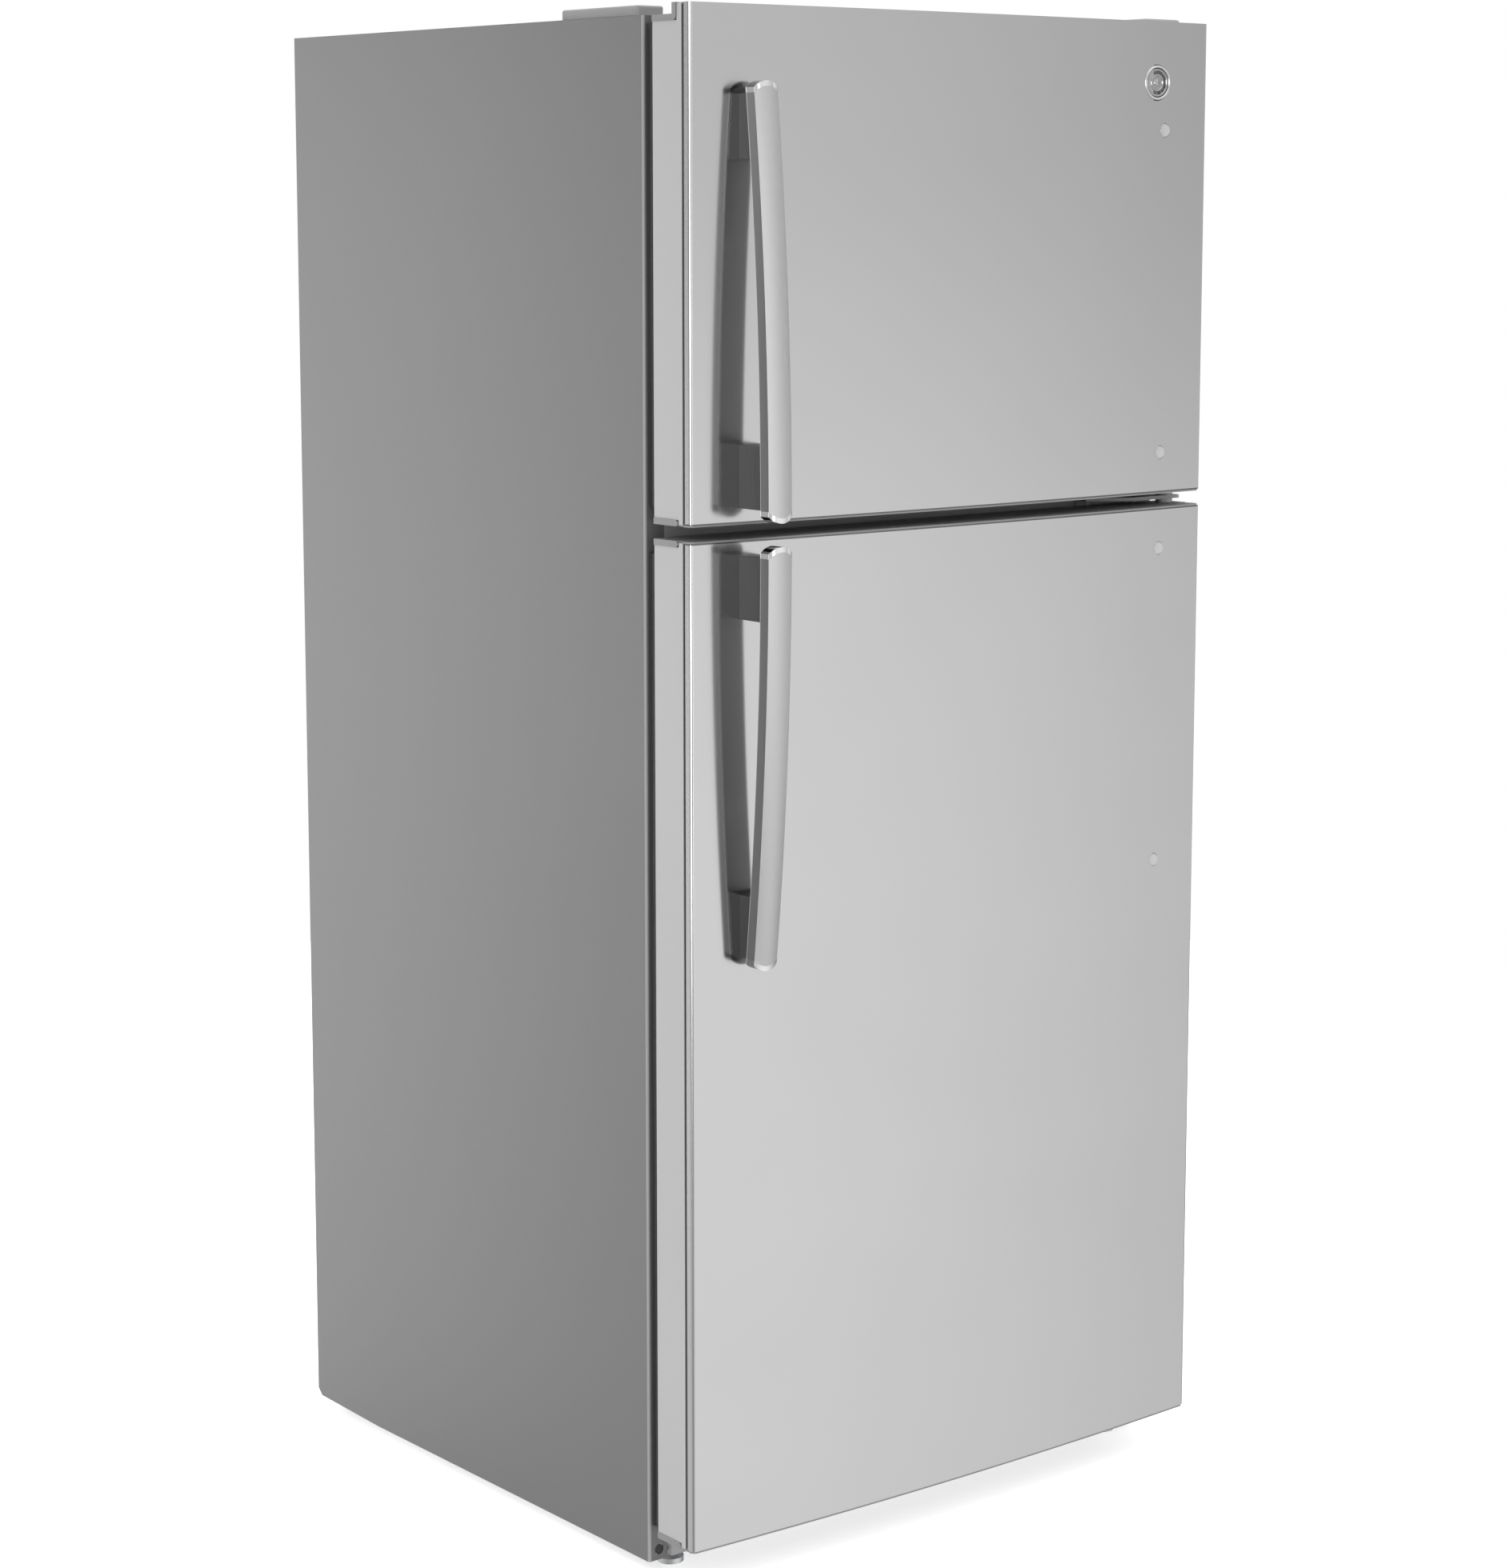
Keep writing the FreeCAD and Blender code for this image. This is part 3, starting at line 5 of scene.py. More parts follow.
import bmesh
import bpy
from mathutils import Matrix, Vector


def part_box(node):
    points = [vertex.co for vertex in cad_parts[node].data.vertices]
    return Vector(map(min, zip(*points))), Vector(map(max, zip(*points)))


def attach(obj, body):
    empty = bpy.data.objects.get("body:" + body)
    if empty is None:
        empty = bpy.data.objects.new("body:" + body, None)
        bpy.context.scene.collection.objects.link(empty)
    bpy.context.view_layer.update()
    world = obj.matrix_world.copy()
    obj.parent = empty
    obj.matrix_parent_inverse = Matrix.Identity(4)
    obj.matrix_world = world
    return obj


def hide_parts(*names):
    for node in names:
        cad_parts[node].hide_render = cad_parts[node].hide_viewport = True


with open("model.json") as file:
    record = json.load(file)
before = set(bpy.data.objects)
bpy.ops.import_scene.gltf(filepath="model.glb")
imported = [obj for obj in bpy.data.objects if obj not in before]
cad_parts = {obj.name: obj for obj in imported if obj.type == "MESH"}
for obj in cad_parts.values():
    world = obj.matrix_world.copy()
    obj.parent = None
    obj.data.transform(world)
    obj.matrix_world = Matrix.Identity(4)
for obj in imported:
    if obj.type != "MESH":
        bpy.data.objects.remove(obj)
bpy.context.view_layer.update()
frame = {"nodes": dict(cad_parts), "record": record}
scene = bpy.context.scene
scene.view_settings.view_transform = "Standard"

MM = 0.001

# ---------------------------------------------------------------- places read from the frame
case_low, case_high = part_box("case_shell")
FRONT = case_low.y                     # front edge of the cabinet
HALF = case_high.x                     # from the centre plane to the cabinet's side
DOOR_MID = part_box("freezer_door_skin")[0].y     # foremost line of the bowed doors
BOW = 11.3 * MM                        # how far that line stands in front of the doors' sides
GRIP_X = (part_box("freezer_handle")[0].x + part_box("freezer_handle")[1].x) / 2
GRIP_ARC = 4.130                       # radius of the handle bar's front, seen from the side
GRIP_THICK = 18 * MM


def door_y(x):
    """Y of the doors' front surface at x."""
    return DOOR_MID + BOW * (x / HALF) ** 2


# ---------------------------------------------------------------- material helpers
NOISE_LOW, NOISE_HIGH = 0.3, 0.7        # most of a noise lies between these
SCRATCH_SCALE = 1400        # brushing marks across their length
SCRATCH_LENGTH = 0.012      # stretch of the marks along the brushing


def grey(level):
    """A neutral colour."""
    return (level, level, level)


def math_node(tree, operation, *values):
    """A Math node fed by numbers or sockets; gives its output."""
    made = tree.nodes.new("ShaderNodeMath")
    made.operation = operation
    for socket, value in zip(made.inputs, values):
        if isinstance(value, (int, float)):
            socket.default_value = value
        else:
            tree.links.new(value, socket)
    return made.outputs[0]


def smooth_span(tree, source, start, full, low=0.0, high=1.0):
    """Ease from low to high while the source goes from start to full."""
    span = tree.nodes.new("ShaderNodeMapRange")
    span.interpolation_type = "SMOOTHSTEP"
    span.inputs["From Min"].default_value = start
    span.inputs["From Max"].default_value = full
    span.inputs["To Min"].default_value = low
    span.inputs["To Max"].default_value = high
    tree.links.new(source, span.inputs["Value"])
    return span.outputs["Result"]


def object_place(tree):
    """X, Y and Z outputs of the place in the object's own metres."""
    place = tree.nodes.new("ShaderNodeTexCoord")
    parts = tree.nodes.new("ShaderNodeSeparateXYZ")
    tree.links.new(place.outputs["Object"], parts.inputs["Vector"])
    return parts.outputs


class Shader:
    """A material under construction: one Principled shader fed by small node chains."""

    def __init__(self, name, color, rough, metallic=0.0):
        self.material = bpy.data.materials.new(name)
        self.material.use_nodes = True
        self.tree = self.material.node_tree
        self.nodes = self.tree.nodes
        self.links = self.tree.links
        self.base = self.nodes["Principled BSDF"]
        self.color = color
        self.base.inputs["Base Color"].default_value = (*color, 1)
        self.base.inputs["Roughness"].default_value = rough
        self.base.inputs["Metallic"].default_value = metallic
        self.bump = None

    def set(self, **values):
        """Set sockets of the Principled shader by name, with _ for a space."""
        for key, value in values.items():
            socket = key.replace("_", " ").title().replace("Ior", "IOR")
            self.base.inputs[socket].default_value = value

    def noise(self, scale, stretch=(1, 1, 1), detail=3.0, rough=0.55):
        """Noise in the object's own metres; stretch multiplies the scale along each axis."""
        place = self.nodes.new("ShaderNodeTexCoord")
        squeeze = self.nodes.new("ShaderNodeMapping")
        squeeze.inputs["Scale"].default_value = stretch
        grain = self.nodes.new("ShaderNodeTexNoise")
        grain.inputs["Scale"].default_value = scale
        grain.inputs["Detail"].default_value = detail
        grain.inputs["Roughness"].default_value = rough
        self.links.new(place.outputs["Object"], squeeze.inputs["Vector"])
        self.links.new(squeeze.outputs["Vector"], grain.inputs["Vector"])
        return grain.outputs["Fac"]

    def ramp(self, source, low, high):
        """Map the usual range of a noise onto low to high."""
        span = self.nodes.new("ShaderNodeMapRange")
        span.inputs["From Min"].default_value = NOISE_LOW
        span.inputs["From Max"].default_value = NOISE_HIGH
        span.inputs["To Min"].default_value = low
        span.inputs["To Max"].default_value = high
        self.links.new(source, span.inputs["Value"])
        return span.outputs["Result"]

    def vary_color(self, source, spread):
        """Let the base colour swing by a share either way."""
        blend = self.nodes.new("ShaderNodeMix")
        blend.data_type = "RGBA"
        blend.inputs["A"].default_value = (*[c * (1 - spread) for c in self.color], 1)
        blend.inputs["B"].default_value = (*[min(1, c * (1 + spread)) for c in self.color], 1)
        self.links.new(self.ramp(source, 0, 1), blend.inputs["Factor"])
        self.links.new(blend.outputs["Result"], self.base.inputs["Base Color"])

    def vary_rough(self, source, low, high):
        """Let the roughness swing from low to high."""
        self.links.new(self.ramp(source, low, high), self.base.inputs["Roughness"])

    def raise_bump(self, source, height, strength=1.0):
        """Add relief of a height in metres, on top of any relief added before."""
        bump = self.nodes.new("ShaderNodeBump")
        bump.inputs["Strength"].default_value = strength
        bump.inputs["Distance"].default_value = height
        self.links.new(source, bump.inputs["Height"])
        if self.bump:
            self.links.new(self.bump.outputs["Normal"], bump.inputs["Normal"])
        self.links.new(bump.outputs["Normal"], self.base.inputs["Normal"])
        self.bump = bump


def brushed_steel(name, color, rough):
    """Satin stainless: fine long level scratches, with faint broad cloudiness."""
    steel = Shader(name, color, rough, 1.0)
    steel.set(anisotropic=0.6, anisotropic_rotation=0.25)
    scratches = steel.noise(SCRATCH_SCALE, (SCRATCH_LENGTH, SCRATCH_LENGTH, 1), 2.0, 0.6)
    cloud = steel.noise(3.0, (1, 1, 1.6), 2.0)
    steel.vary_color(cloud, 0.012)
    steel.vary_rough(scratches, rough * 0.92, rough * 1.1)
    steel.raise_bump(scratches, 0.000003, 0.25)
    return steel.material


FLANK_PAINTED_SHADE = 0.15           # painted shade on the sides of the handle bar
LIP_PAINTED_HIGHLIGHT = 0.42             # painted highlight on its rear edges
STANDOFF_PAINTED_SHADE = 0.065       # painted shade on what holds it off the door, which also darkens its reflection in the door


def handle_finish(name, node, split, rough, crown=0.575, brushed=0.6):
    """Handle metal with a bright crown, painted shade on its flanks and standoffs and a painted
    highlight along its rear edges.

    The painted tone follows the depth behind the bar's curved front, which is foremost at the height
    split.
    """
    steel = Shader(name, grey(crown), rough, 1.0)
    steel.set(anisotropic=brushed, anisotropic_rotation=0.0)
    tree = steel.tree
    place = object_place(tree)
    along = math_node(tree, "SUBTRACT", place["Z"], split)
    square = math_node(tree, "MULTIPLY", along, along)
    fall = math_node(tree, "MULTIPLY", square, 0.5 / GRIP_ARC)
    level = math_node(tree, "SUBTRACT", place["Y"], fall)
    depth = math_node(tree, "SUBTRACT", level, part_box(node)[0].y)
    share = math_node(tree, "DIVIDE", depth, GRIP_THICK + 2 * MM)

    # Ramp of painted tones: bright crown, painted shade on the flanks, painted highlight on the rear
    # edges, painted shade on the standoffs.
    tone = steel.nodes.new("ShaderNodeValToRGB")
    tone.color_ramp.interpolation = "LINEAR"
    stops = tone.color_ramp.elements
    stops[0].position, stops[0].color = 0.0, (*grey(crown), 1)
    stops[1].position, stops[1].color = 1.0, (*grey(STANDOFF_PAINTED_SHADE), 1)
    between = ((0.205, crown), (0.225, FLANK_PAINTED_SHADE), (0.85, FLANK_PAINTED_SHADE), (0.88, LIP_PAINTED_HIGHLIGHT),
               (0.95, LIP_PAINTED_HIGHLIGHT), (0.99, STANDOFF_PAINTED_SHADE))
    for position, shade in between:
        stops.new(position).color = (*grey(shade), 1)
    steel.links.new(share, tone.inputs["Fac"])

    scratches = steel.noise(SCRATCH_SCALE, (1, 1, SCRATCH_LENGTH), 2.0, 0.6)
    worn = steel.nodes.new("ShaderNodeMix")
    worn.data_type = "RGBA"
    worn.blend_type = "MULTIPLY"
    worn.inputs["Factor"].default_value = 1.0
    steel.links.new(tone.outputs["Color"], worn.inputs["A"])
    steel.links.new(steel.ramp(scratches, 0.96, 1.03), worn.inputs["B"])
    steel.links.new(worn.outputs["Result"], steel.base.inputs["Base Color"])
    steel.vary_rough(scratches, rough * 0.85, rough * 1.2)
    steel.raise_bump(scratches, 0.000004, 0.35)
    return steel.material


def painted(name, color, rough, peel=0.000005):
    """Powder-coated sheet with fine orange peel."""
    paint = Shader(name, color, rough)
    paint.vary_color(paint.noise(6), 0.008)
    paint.vary_rough(paint.noise(300), rough * 0.96, rough * 1.04)
    paint.raise_bump(paint.noise(700, detail=1.0), peel, 0.5)
    paint.set(coat_weight=0.12, coat_roughness=0.2)
    return paint.material


def paint_edge_light(material, spans, level):
    """Blend a grey over a material where all the spans overlap: a painted highlight where the grey is
    paler, painted shade where it is darker.

    Each span is an axis, where the blend starts and where it is full; X counts from the centre plane.
    """
    tree = material.node_tree
    color = tree.nodes["Principled BSDF"].inputs["Base Color"]
    place = object_place(tree)
    share = None
    for axis, start, full in spans:
        source = place[axis]
        if axis == "X":
            source = math_node(tree, "ABSOLUTE", source)
        part = smooth_span(tree, source, start, full)
        share = math_node(tree, "MULTIPLY", share, part) if share else part
    edge = tree.nodes.new("ShaderNodeMix")
    edge.data_type = "RGBA"
    tree.links.new(share, edge.inputs["Factor"])
    tree.links.new(color.links[0].from_socket, edge.inputs["A"])
    edge.inputs["B"].default_value = (*grey(level), 1)
    tree.links.new(edge.outputs["Result"], color)
    return material


# Where the painted highlight on the cabinet's bend and the painted shade on the doors' cut edge start
# and where they are full, in from the edge that each follows.
BEND_HIGHLIGHT_FORWARD = (2.8 * MM, 1.9 * MM)
BEND_HIGHLIGHT_OUTWARD = (3.4 * MM, 2.4 * MM)
CUT_EDGE_SHADE = (1.7 * MM, 0.9 * MM)


def case_finish():
    """The cabinet's paint, with a painted highlight along the bend round its front edge."""
    paint = painted("case_paint", grey(0.175), 0.45)
    forward = ("Y", FRONT + BEND_HIGHLIGHT_FORWARD[0], FRONT + BEND_HIGHLIGHT_FORWARD[1])
    outward = ("X", HALF - BEND_HIGHLIGHT_OUTWARD[0], HALF - BEND_HIGHLIGHT_OUTWARD[1])
    # Painted highlight: a paler grey blended over the bend.
    return paint_edge_light(paint, (forward, outward), 0.42)


def skin_finish(name):
    """Door steel, with painted shade along the cut edge that faces the other door."""
    low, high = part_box(name)
    edge, inward = (low.z, 1) if name == "freezer_door_skin" else (high.z, -1)
    steel = brushed_steel(name + "_steel", grey(0.60), 0.15)
    upright = ("Z", edge + inward * CUT_EDGE_SHADE[0], edge + inward * CUT_EDGE_SHADE[1])
    # Painted shade: a dark grey blended along the edge at the gap.
    return paint_edge_light(steel, (upright,), 0.17)


def moulded(name, color, rough, grain=0.00002, scale=1800):
    """Moulded plastic with a fine spark-eroded grain."""
    plastic = Shader(name, color, rough)
    plastic.vary_color(plastic.noise(12), 0.025)
    plastic.vary_rough(plastic.noise(90), rough * 0.88, rough * 1.12)
    plastic.raise_bump(plastic.noise(scale, detail=2.0), grain, 0.6)
    return plastic.material


def rubber(name, color):
    """Soft dull seal rubber."""
    seal = Shader(name, color, 0.62)
    seal.vary_color(seal.noise(25), 0.08)
    seal.vary_rough(seal.noise(120), 0.55, 0.7)
    seal.raise_bump(seal.noise(900), 0.00002, 0.5)
    return seal.material


def clear(name, color, rough, alpha, transmission=0.3, ior=1.5):
    """Clear or tinted glass or plastic with faint wipe marks."""
    pane = Shader(name, color, rough)
    pane.set(transmission_weight=transmission, IOR=ior, alpha=alpha)
    pane.vary_color(pane.noise(8), 0.015)
    pane.vary_rough(pane.noise(30), max(0.0, rough - 0.02), rough + 0.04)
    return pane.material


def bare_metal(name, color, rough, spread=0.05, peel=0.00001):
    """Plated, turned or cast metal with slightly uneven shine."""
    metal = Shader(name, color, rough, 1.0)
    metal.vary_color(metal.noise(30), spread)
    metal.vary_rough(metal.noise(70), rough * 0.75, rough * 1.3)
    metal.raise_bump(metal.noise(500), peel, 0.5)
    return metal.material


def spangled(name):
    """Zinc-coated steel with its crystal pattern."""
    zinc = Shader(name, (0.60, 0.61, 0.62), 0.42, 1.0)
    place = zinc.nodes.new("ShaderNodeTexCoord")
    cells = zinc.nodes.new("ShaderNodeTexVoronoi")
    cells.inputs["Scale"].default_value = 150
    zinc.links.new(place.outputs["Object"], cells.inputs["Vector"])
    draws = zinc.nodes.new("ShaderNodeSeparateColor")
    zinc.links.new(cells.outputs["Color"], draws.inputs["Color"])
    zinc.vary_color(draws.outputs["Red"], 0.08)
    zinc.vary_rough(draws.outputs["Green"], 0.34, 0.5)
    return zinc.material


def foam_material(name):
    """Poured insulation with a lumpy skin."""
    foam = Shader(name, (0.83, 0.74, 0.50), 0.9)
    foam.vary_color(foam.noise(30), 0.1)
    foam.raise_bump(foam.noise(350), 0.0004, 0.8)
    return foam.material


# The steel, the cabinet paint and the handles have finishes of their own, with painted highlights and
# painted shade: see graded_finish.
SLOT_MATERIALS = {
    "back_steel": painted("back_paint", (0.30, 0.305, 0.31), 0.5),
    "galvanised": spangled("galvanised_steel"),
    "insulation": foam_material("polyurethane_foam"),
    "liner_white": moulded("liner_plastic", (0.84, 0.84, 0.83), 0.34, 0.000002, 1200),
    "door_strip": painted("door_strip_paint", grey(0.52), 0.38),
    "cap_grey": moulded("cap_plastic", grey(0.28), 0.42),
    "cover_grey": moulded("cover_plastic", grey(0.42), 0.42),
    "gasket_dark": rubber("gasket_rubber", grey(0.035)),
    "bin_clear": clear("bin_plastic", (0.92, 0.94, 0.95), 0.06, 0.72, 0.85, 1.45),
    "shelf_glass": clear("shelf_glass", (0.72, 0.84, 0.80), 0.02, 0.24),
    "badge_rim": bare_metal("badge_rim", grey(0.66), 0.24, 0.02, 0.000002),
    "badge_steel": bare_metal("badge_steel", grey(0.42), 0.2, 0.1, 0.00002),
    "plug_plastic": moulded("plug_plastic", grey(0.60), 0.18, 0.000003),
    "hinge_steel": painted("hinge_paint", grey(0.50), 0.4),
    "nylon_white": moulded("nylon", (0.80, 0.80, 0.78), 0.4, 0.00001),
    "screw_zinc": bare_metal("zinc_plate", (0.62, 0.63, 0.64), 0.3),
    "white_plastic": moulded("white_plastic", (0.80, 0.80, 0.79), 0.36, 0.00002),
    "wire_white": painted("coated_wire", grey(0.82), 0.3, 0.00002),
    "coil_aluminium": bare_metal("coil_aluminium", (0.72, 0.73, 0.74), 0.35),
    "motor_dark": painted("motor_paint", (0.035, 0.035, 0.04), 0.5, 0.00005),
    "compressor_black": painted("compressor_enamel", (0.012, 0.012, 0.013), 0.22, 0.0001),
    "condenser_black": painted("condenser_paint", grey(0.015), 0.4, 0.00005),
    "fan_plastic": moulded("fan_plastic", (0.62, 0.62, 0.60), 0.45),
    "lamp_glass": clear("lamp_glass", (0.96, 0.95, 0.90), 0.35, 0.85, 0.5),
    "grille_grey": moulded("grille_plastic", grey(0.50), 0.5),
    "roller_nylon": moulded("roller_nylon", grey(0.06), 0.5),
    "pan_plastic": moulded("pan_plastic", grey(0.04), 0.5),
}
SLOT_OF = {entry["node"]: entry["material_slot"] for entry in frame["record"]["subparts"]}

EDGE_ANGLE = math.radians(40)       # edges that turn by more than this are rounded


def soften(obj, width):
    """Small rounded edges on a hard-edged piece."""
    bevel = obj.modifiers.new("edges", "BEVEL")
    bevel.width = width
    bevel.segments = 2
    bevel.limit_method = "ANGLE"
    bevel.angle_limit = EDGE_ANGLE
    bevel.harden_normals = False
    bevel.use_clamp_overlap = True


EDGE_RADII = {                      # in millimetres
    "base_grille": 0.6, "center_hinge": 0.5, "bottom_hinge": 0.5, "top_hinge": 0.5,
    "shelf_frames": 1.2, "control_housing": 1.5, "crisper_left": 0.8, "crisper_right": 0.8,
    "freezer_door_bins": 0.9, "fresh_food_door_bins": 0.9, "dairy_cover": 0.8,
    "freezer_dial": 1.2, "fresh_food_dial": 1.2, "machine_cover": 0.3,
    "freezer_door_top_cap": 0.6, "freezer_door_bottom_cap": 0.6,
    "fresh_food_door_top_cap": 0.6, "fresh_food_door_bottom_cap": 0.6,
}


def graded_finish(name):
    """Finish of a node whose colour changes from place to place by painted highlights and painted shade,
    or that has a material of its own; None for the others.
    """
    if name == "case_shell":
        return case_finish()
    if name.endswith("_door_skin"):
        return skin_finish(name)
    if name.endswith("hinge_cover"):
        return SLOT_MATERIALS["cover_grey"]
    handle = name.removesuffix("_end_caps")
    if handle not in ("freezer_handle", "fresh_food_handle"):
        return None
    low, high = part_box(handle + "_end_caps")
    split = low.z if handle == "freezer_handle" else high.z
    if handle == name:
        return handle_finish(name + "_steel", handle, split, 0.42)
    # The chrome end caps take the same painted shade and painted highlight as the handle, over a
    # brighter crown.
    return handle_finish(name + "_bright", handle, split, 0.10, 0.80, 0.0)


def dress_cad():
    """Material for every CAD node, and small edge radii where the piece is moulded or pressed."""
    for name, obj in frame["nodes"].items():
        obj.data.materials.clear()
        obj.data.materials.append(graded_finish(name) or SLOT_MATERIALS[SLOT_OF[name]])
        if name in EDGE_RADII:
            soften(obj, EDGE_RADII[name] * MM)


# ---------------------------------------------------------------- mesh helpers
def new_piece(name, mesh_maker, body, slot, smooth_angle=35, finish=None):
    """A mesh piece from a bmesh-filling function; it rides on a body and takes a slot's finish."""
    mesh = bpy.data.meshes.new(name)
    work = bmesh.new()
    mesh_maker(work)
    bmesh.ops.recalc_face_normals(work, faces=work.faces)
    work.to_mesh(mesh)
    work.free()
    obj = bpy.data.objects.new(name, mesh)
    scene.collection.objects.link(obj)
    obj.data.materials.append(finish or SLOT_MATERIALS[slot])
    for face in mesh.polygons:
        face.use_smooth = True
    mesh.set_sharp_from_angle(angle=math.radians(smooth_angle))
    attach(obj, body)
    return obj


ON_AXIS = 1e-7              # a smaller radius than this is a single point


def turned(work, profile, centre, axis, count):
    """Solid of revolution: profile is a list of (radius, height), from axis to axis."""
    turn = Vector((0, 0, 1)).rotation_difference(Vector(axis)).to_matrix()
    rings = []
    for radius, height in profile:
        if radius < ON_AXIS:
            rings.append([work.verts.new(Vector(centre) + turn @ Vector((0, 0, height)))])
            continue
        ring = []
        for k in range(count):
            angle = 2 * math.pi * k / count
            point = Vector((radius * math.cos(angle), radius * math.sin(angle), height))
            ring.append(work.verts.new(Vector(centre) + turn @ point))
        rings.append(ring)
    for low, high in zip(rings[:-1], rings[1:]):
        for k in range(count):
            a, b = low[k % len(low)], low[(k + 1) % len(low)]
            c, d = high[(k + 1) % len(high)], high[k % len(high)]
            corners = [v for i, v in enumerate((a, b, c, d)) if v not in (a, b, c, d)[:i]]
            if len(corners) > 2:
                work.faces.new(corners)


def turned_piece(name, profile, centre, axis, count, body, slot, smooth_angle, finish=None):
    """A turned piece; its profile is in millimetres."""
    scaled = [(radius * MM, height * MM) for radius, height in profile]
    new_piece(name, lambda work: turned(work, scaled, centre, axis, count),
              body, slot, smooth_angle, finish)


def door_normal(x):
    """Outward direction of the bowed door at x."""
    return Vector((-2 * BOW * x / HALF ** 2, -1, 0)).normalized()


# ---------------------------------------------------------------- trim
BADGE_X, BADGE_Z = 0.292, 1.637
PLUG_IN = 38 * MM           # plugs, in from the ends of the handles
PLUG_SHIFT = 4 * MM         # and towards the centre from the handles' mirror place
FOOT_PLUG_IN = 14 * MM      # foot plugs, in from the cabinet's side
FOOT_PLUG_UP = 12 * MM      # and up from its lower edge


def door_badge():
    """Round badge: a bright rim, a satin face with plain concentric steps, and a dark ring of painted
    shadow round it.
    """
    rim = [(16.4, -0.2), (19.6, -0.2), (19.6, 1.5), (19.2, 2.4), (18.5, 2.9), (17.6, 2.9),
           (16.9, 2.4), (16.4, 1.4), (16.4, -0.2)]
    face = [(0, -0.2), (16.0, -0.2), (16.0, 0.5), (15.6, 1.5), (14.9, 1.9), (14.2, 1.9),
            (13.5, 1.5), (13.1, 0.5), (10.0, 0.5), (9.4, 1.6), (8.6, 1.9), (7.8, 1.6),
            (7.2, 0.6), (4.4, 0.6), (3.8, 1.4), (0, 1.9)]
    # Dark ring of painted shadow under the badge, just wider than its rim.
    shadow_ring = [(0, -0.2), (20.5, -0.2), (20.5, 0.3), (20.2, 0.5), (0, 0.5)]
    centre = (BADGE_X, door_y(BADGE_X), BADGE_Z)
    parts = (("rim", rim, "badge_rim"), ("face", face, "badge_steel"), ("shadow_ring", shadow_ring, "gasket_dark"))
    for part, profile, finish in parts:
        turned_piece("door_badge_" + part, profile, centre, door_normal(BADGE_X), count=96,
                     body="freezer_door", slot="chrome", smooth_angle=50, finish=SLOT_MATERIALS[finish])


def plugs():
    """Domed plugs that fill the spare handle screw holes on the hinge side, each on a dark ring of
    painted shadow.
    """
    dome = [(0, -0.3), (7.3, -0.3), (7.3, 0.5), (6.8, 1.4), (5.6, 2.3), (3.8, 3.0), (1.8, 3.3),
            (0, 3.4)]
    # Dark ring of painted shadow under each plug, just wider than its dome.
    shadow_ring = [(0, -0.3), (7.8, -0.3), (7.8, 0.15), (7.2, 0.3), (0, 0.3)]
    parts = (("plug", dome, "plug_plastic"), ("plug_shadow_ring", shadow_ring, "gasket_dark"))
    x = -GRIP_X + PLUG_SHIFT
    for body, handle in (("freezer_door", "freezer_handle"), ("fresh_food_door", "fresh_food_handle")):
        low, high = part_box(handle)
        for k, z in enumerate((low.z + PLUG_IN, high.z - PLUG_IN)):
            for part, profile, finish in parts:
                turned_piece(f"{body}_{part}_{k}", profile, (x, door_y(x), z), door_normal(x), count=40,
                             body=body, slot="stainless", smooth_angle=60, finish=SLOT_MATERIALS[finish])


def foot_plugs():
    """Round plugs in the two holes at the foot of the cabinet's folded front edge."""
    dome = [(0, -3), (5.6, -3), (5.6, -0.8), (5.0, -0.5), (0, -0.4)]
    for side, word in ((-1, "left"), (1, "right")):
        centre = (side * (HALF - FOOT_PLUG_IN), FRONT, case_low.z + FOOT_PLUG_UP)
        turned_piece("foot_plug_" + word, dome, centre, (0, -1, 0), count=32,
                     body="cabinet", slot="gasket_dark", smooth_angle=60)


SEAL_SIDE = 5 * MM          # seals, in from the cabinet's sides
SEAL_TOP = 8 * MM           # and down from its top
SEAL_FOOT = 55 * MM         # lower edge of the lower seal
SEAL_WIDE = 14 * MM


def gasket(prefix):
    """Magnetic seal: a soft bellows section carried round the door's back."""
    low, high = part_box(prefix + "_gasket")
    low.x, high.x = SEAL_SIDE - HALF, HALF - SEAL_SIDE
    if prefix == "freezer_door":
        high.z = case_high.z - SEAL_TOP
    else:
        low.z = SEAL_FOOT
    deep = high.y - low.y
    half = [(0.02, 0.0), (0.02, 0.16), (0.14, 0.22), (0.14, 0.34), (0.0, 0.42), (0.0, 0.58),
            (0.12, 0.66), (0.1, 0.78), (0.0, 0.84), (0.0, 0.97), (0.06, 1.0)]
    section = half + [(1 - inward, out) for inward, out in reversed(half)]

    def bellows(work):
        rings = []
        corners = [(-1, -1), (1, -1), (1, 1), (-1, 1)]
        for sx, sz in corners:
            ring = []
            for inward, out in section:
                step = inward * SEAL_WIDE
                x = high.x - step if sx > 0 else low.x + step
                z = high.z - step if sz > 0 else low.z + step
                ring.append(work.verts.new((x, low.y + out * deep, z)))
            rings.append(ring)
        for here, after in zip(rings, rings[1:] + rings[:1]):
            for k in range(len(section)):
                n = (k + 1) % len(section)
                work.faces.new((here[k], here[n], after[n], after[k]))

    piece = new_piece(prefix + "_seal", bellows, prefix, "gasket_dark", smooth_angle=50)
    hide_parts(prefix + "_gasket")


def bar_of(work, x, y, z):
    """An upright strip between low and high values, its long edges rounded."""
    made = bmesh.ops.create_cube(work, size=1.0)["verts"]
    for v in made:
        v.co = Vector([low + (c + 0.5) * (high - low) for c, (low, high) in zip(v.co, (x, y, z))])
    tall = 0.5 * (z[1] - z[0])
    long_edges = [e for e in work.edges if abs(e.verts[0].co.z - e.verts[1].co.z) > tall]
    bmesh.ops.bevel(work, geom=long_edges, offset=0.3 * (x[1] - x[0]), segments=2, affect="EDGES")


STROKE = 0.7 * MM           # half the width of the dials' marks
MARK_SUNK = 0.2 * MM
SCALE_BARS = 7
SCALE_STEP = 40             # degrees from bar to bar


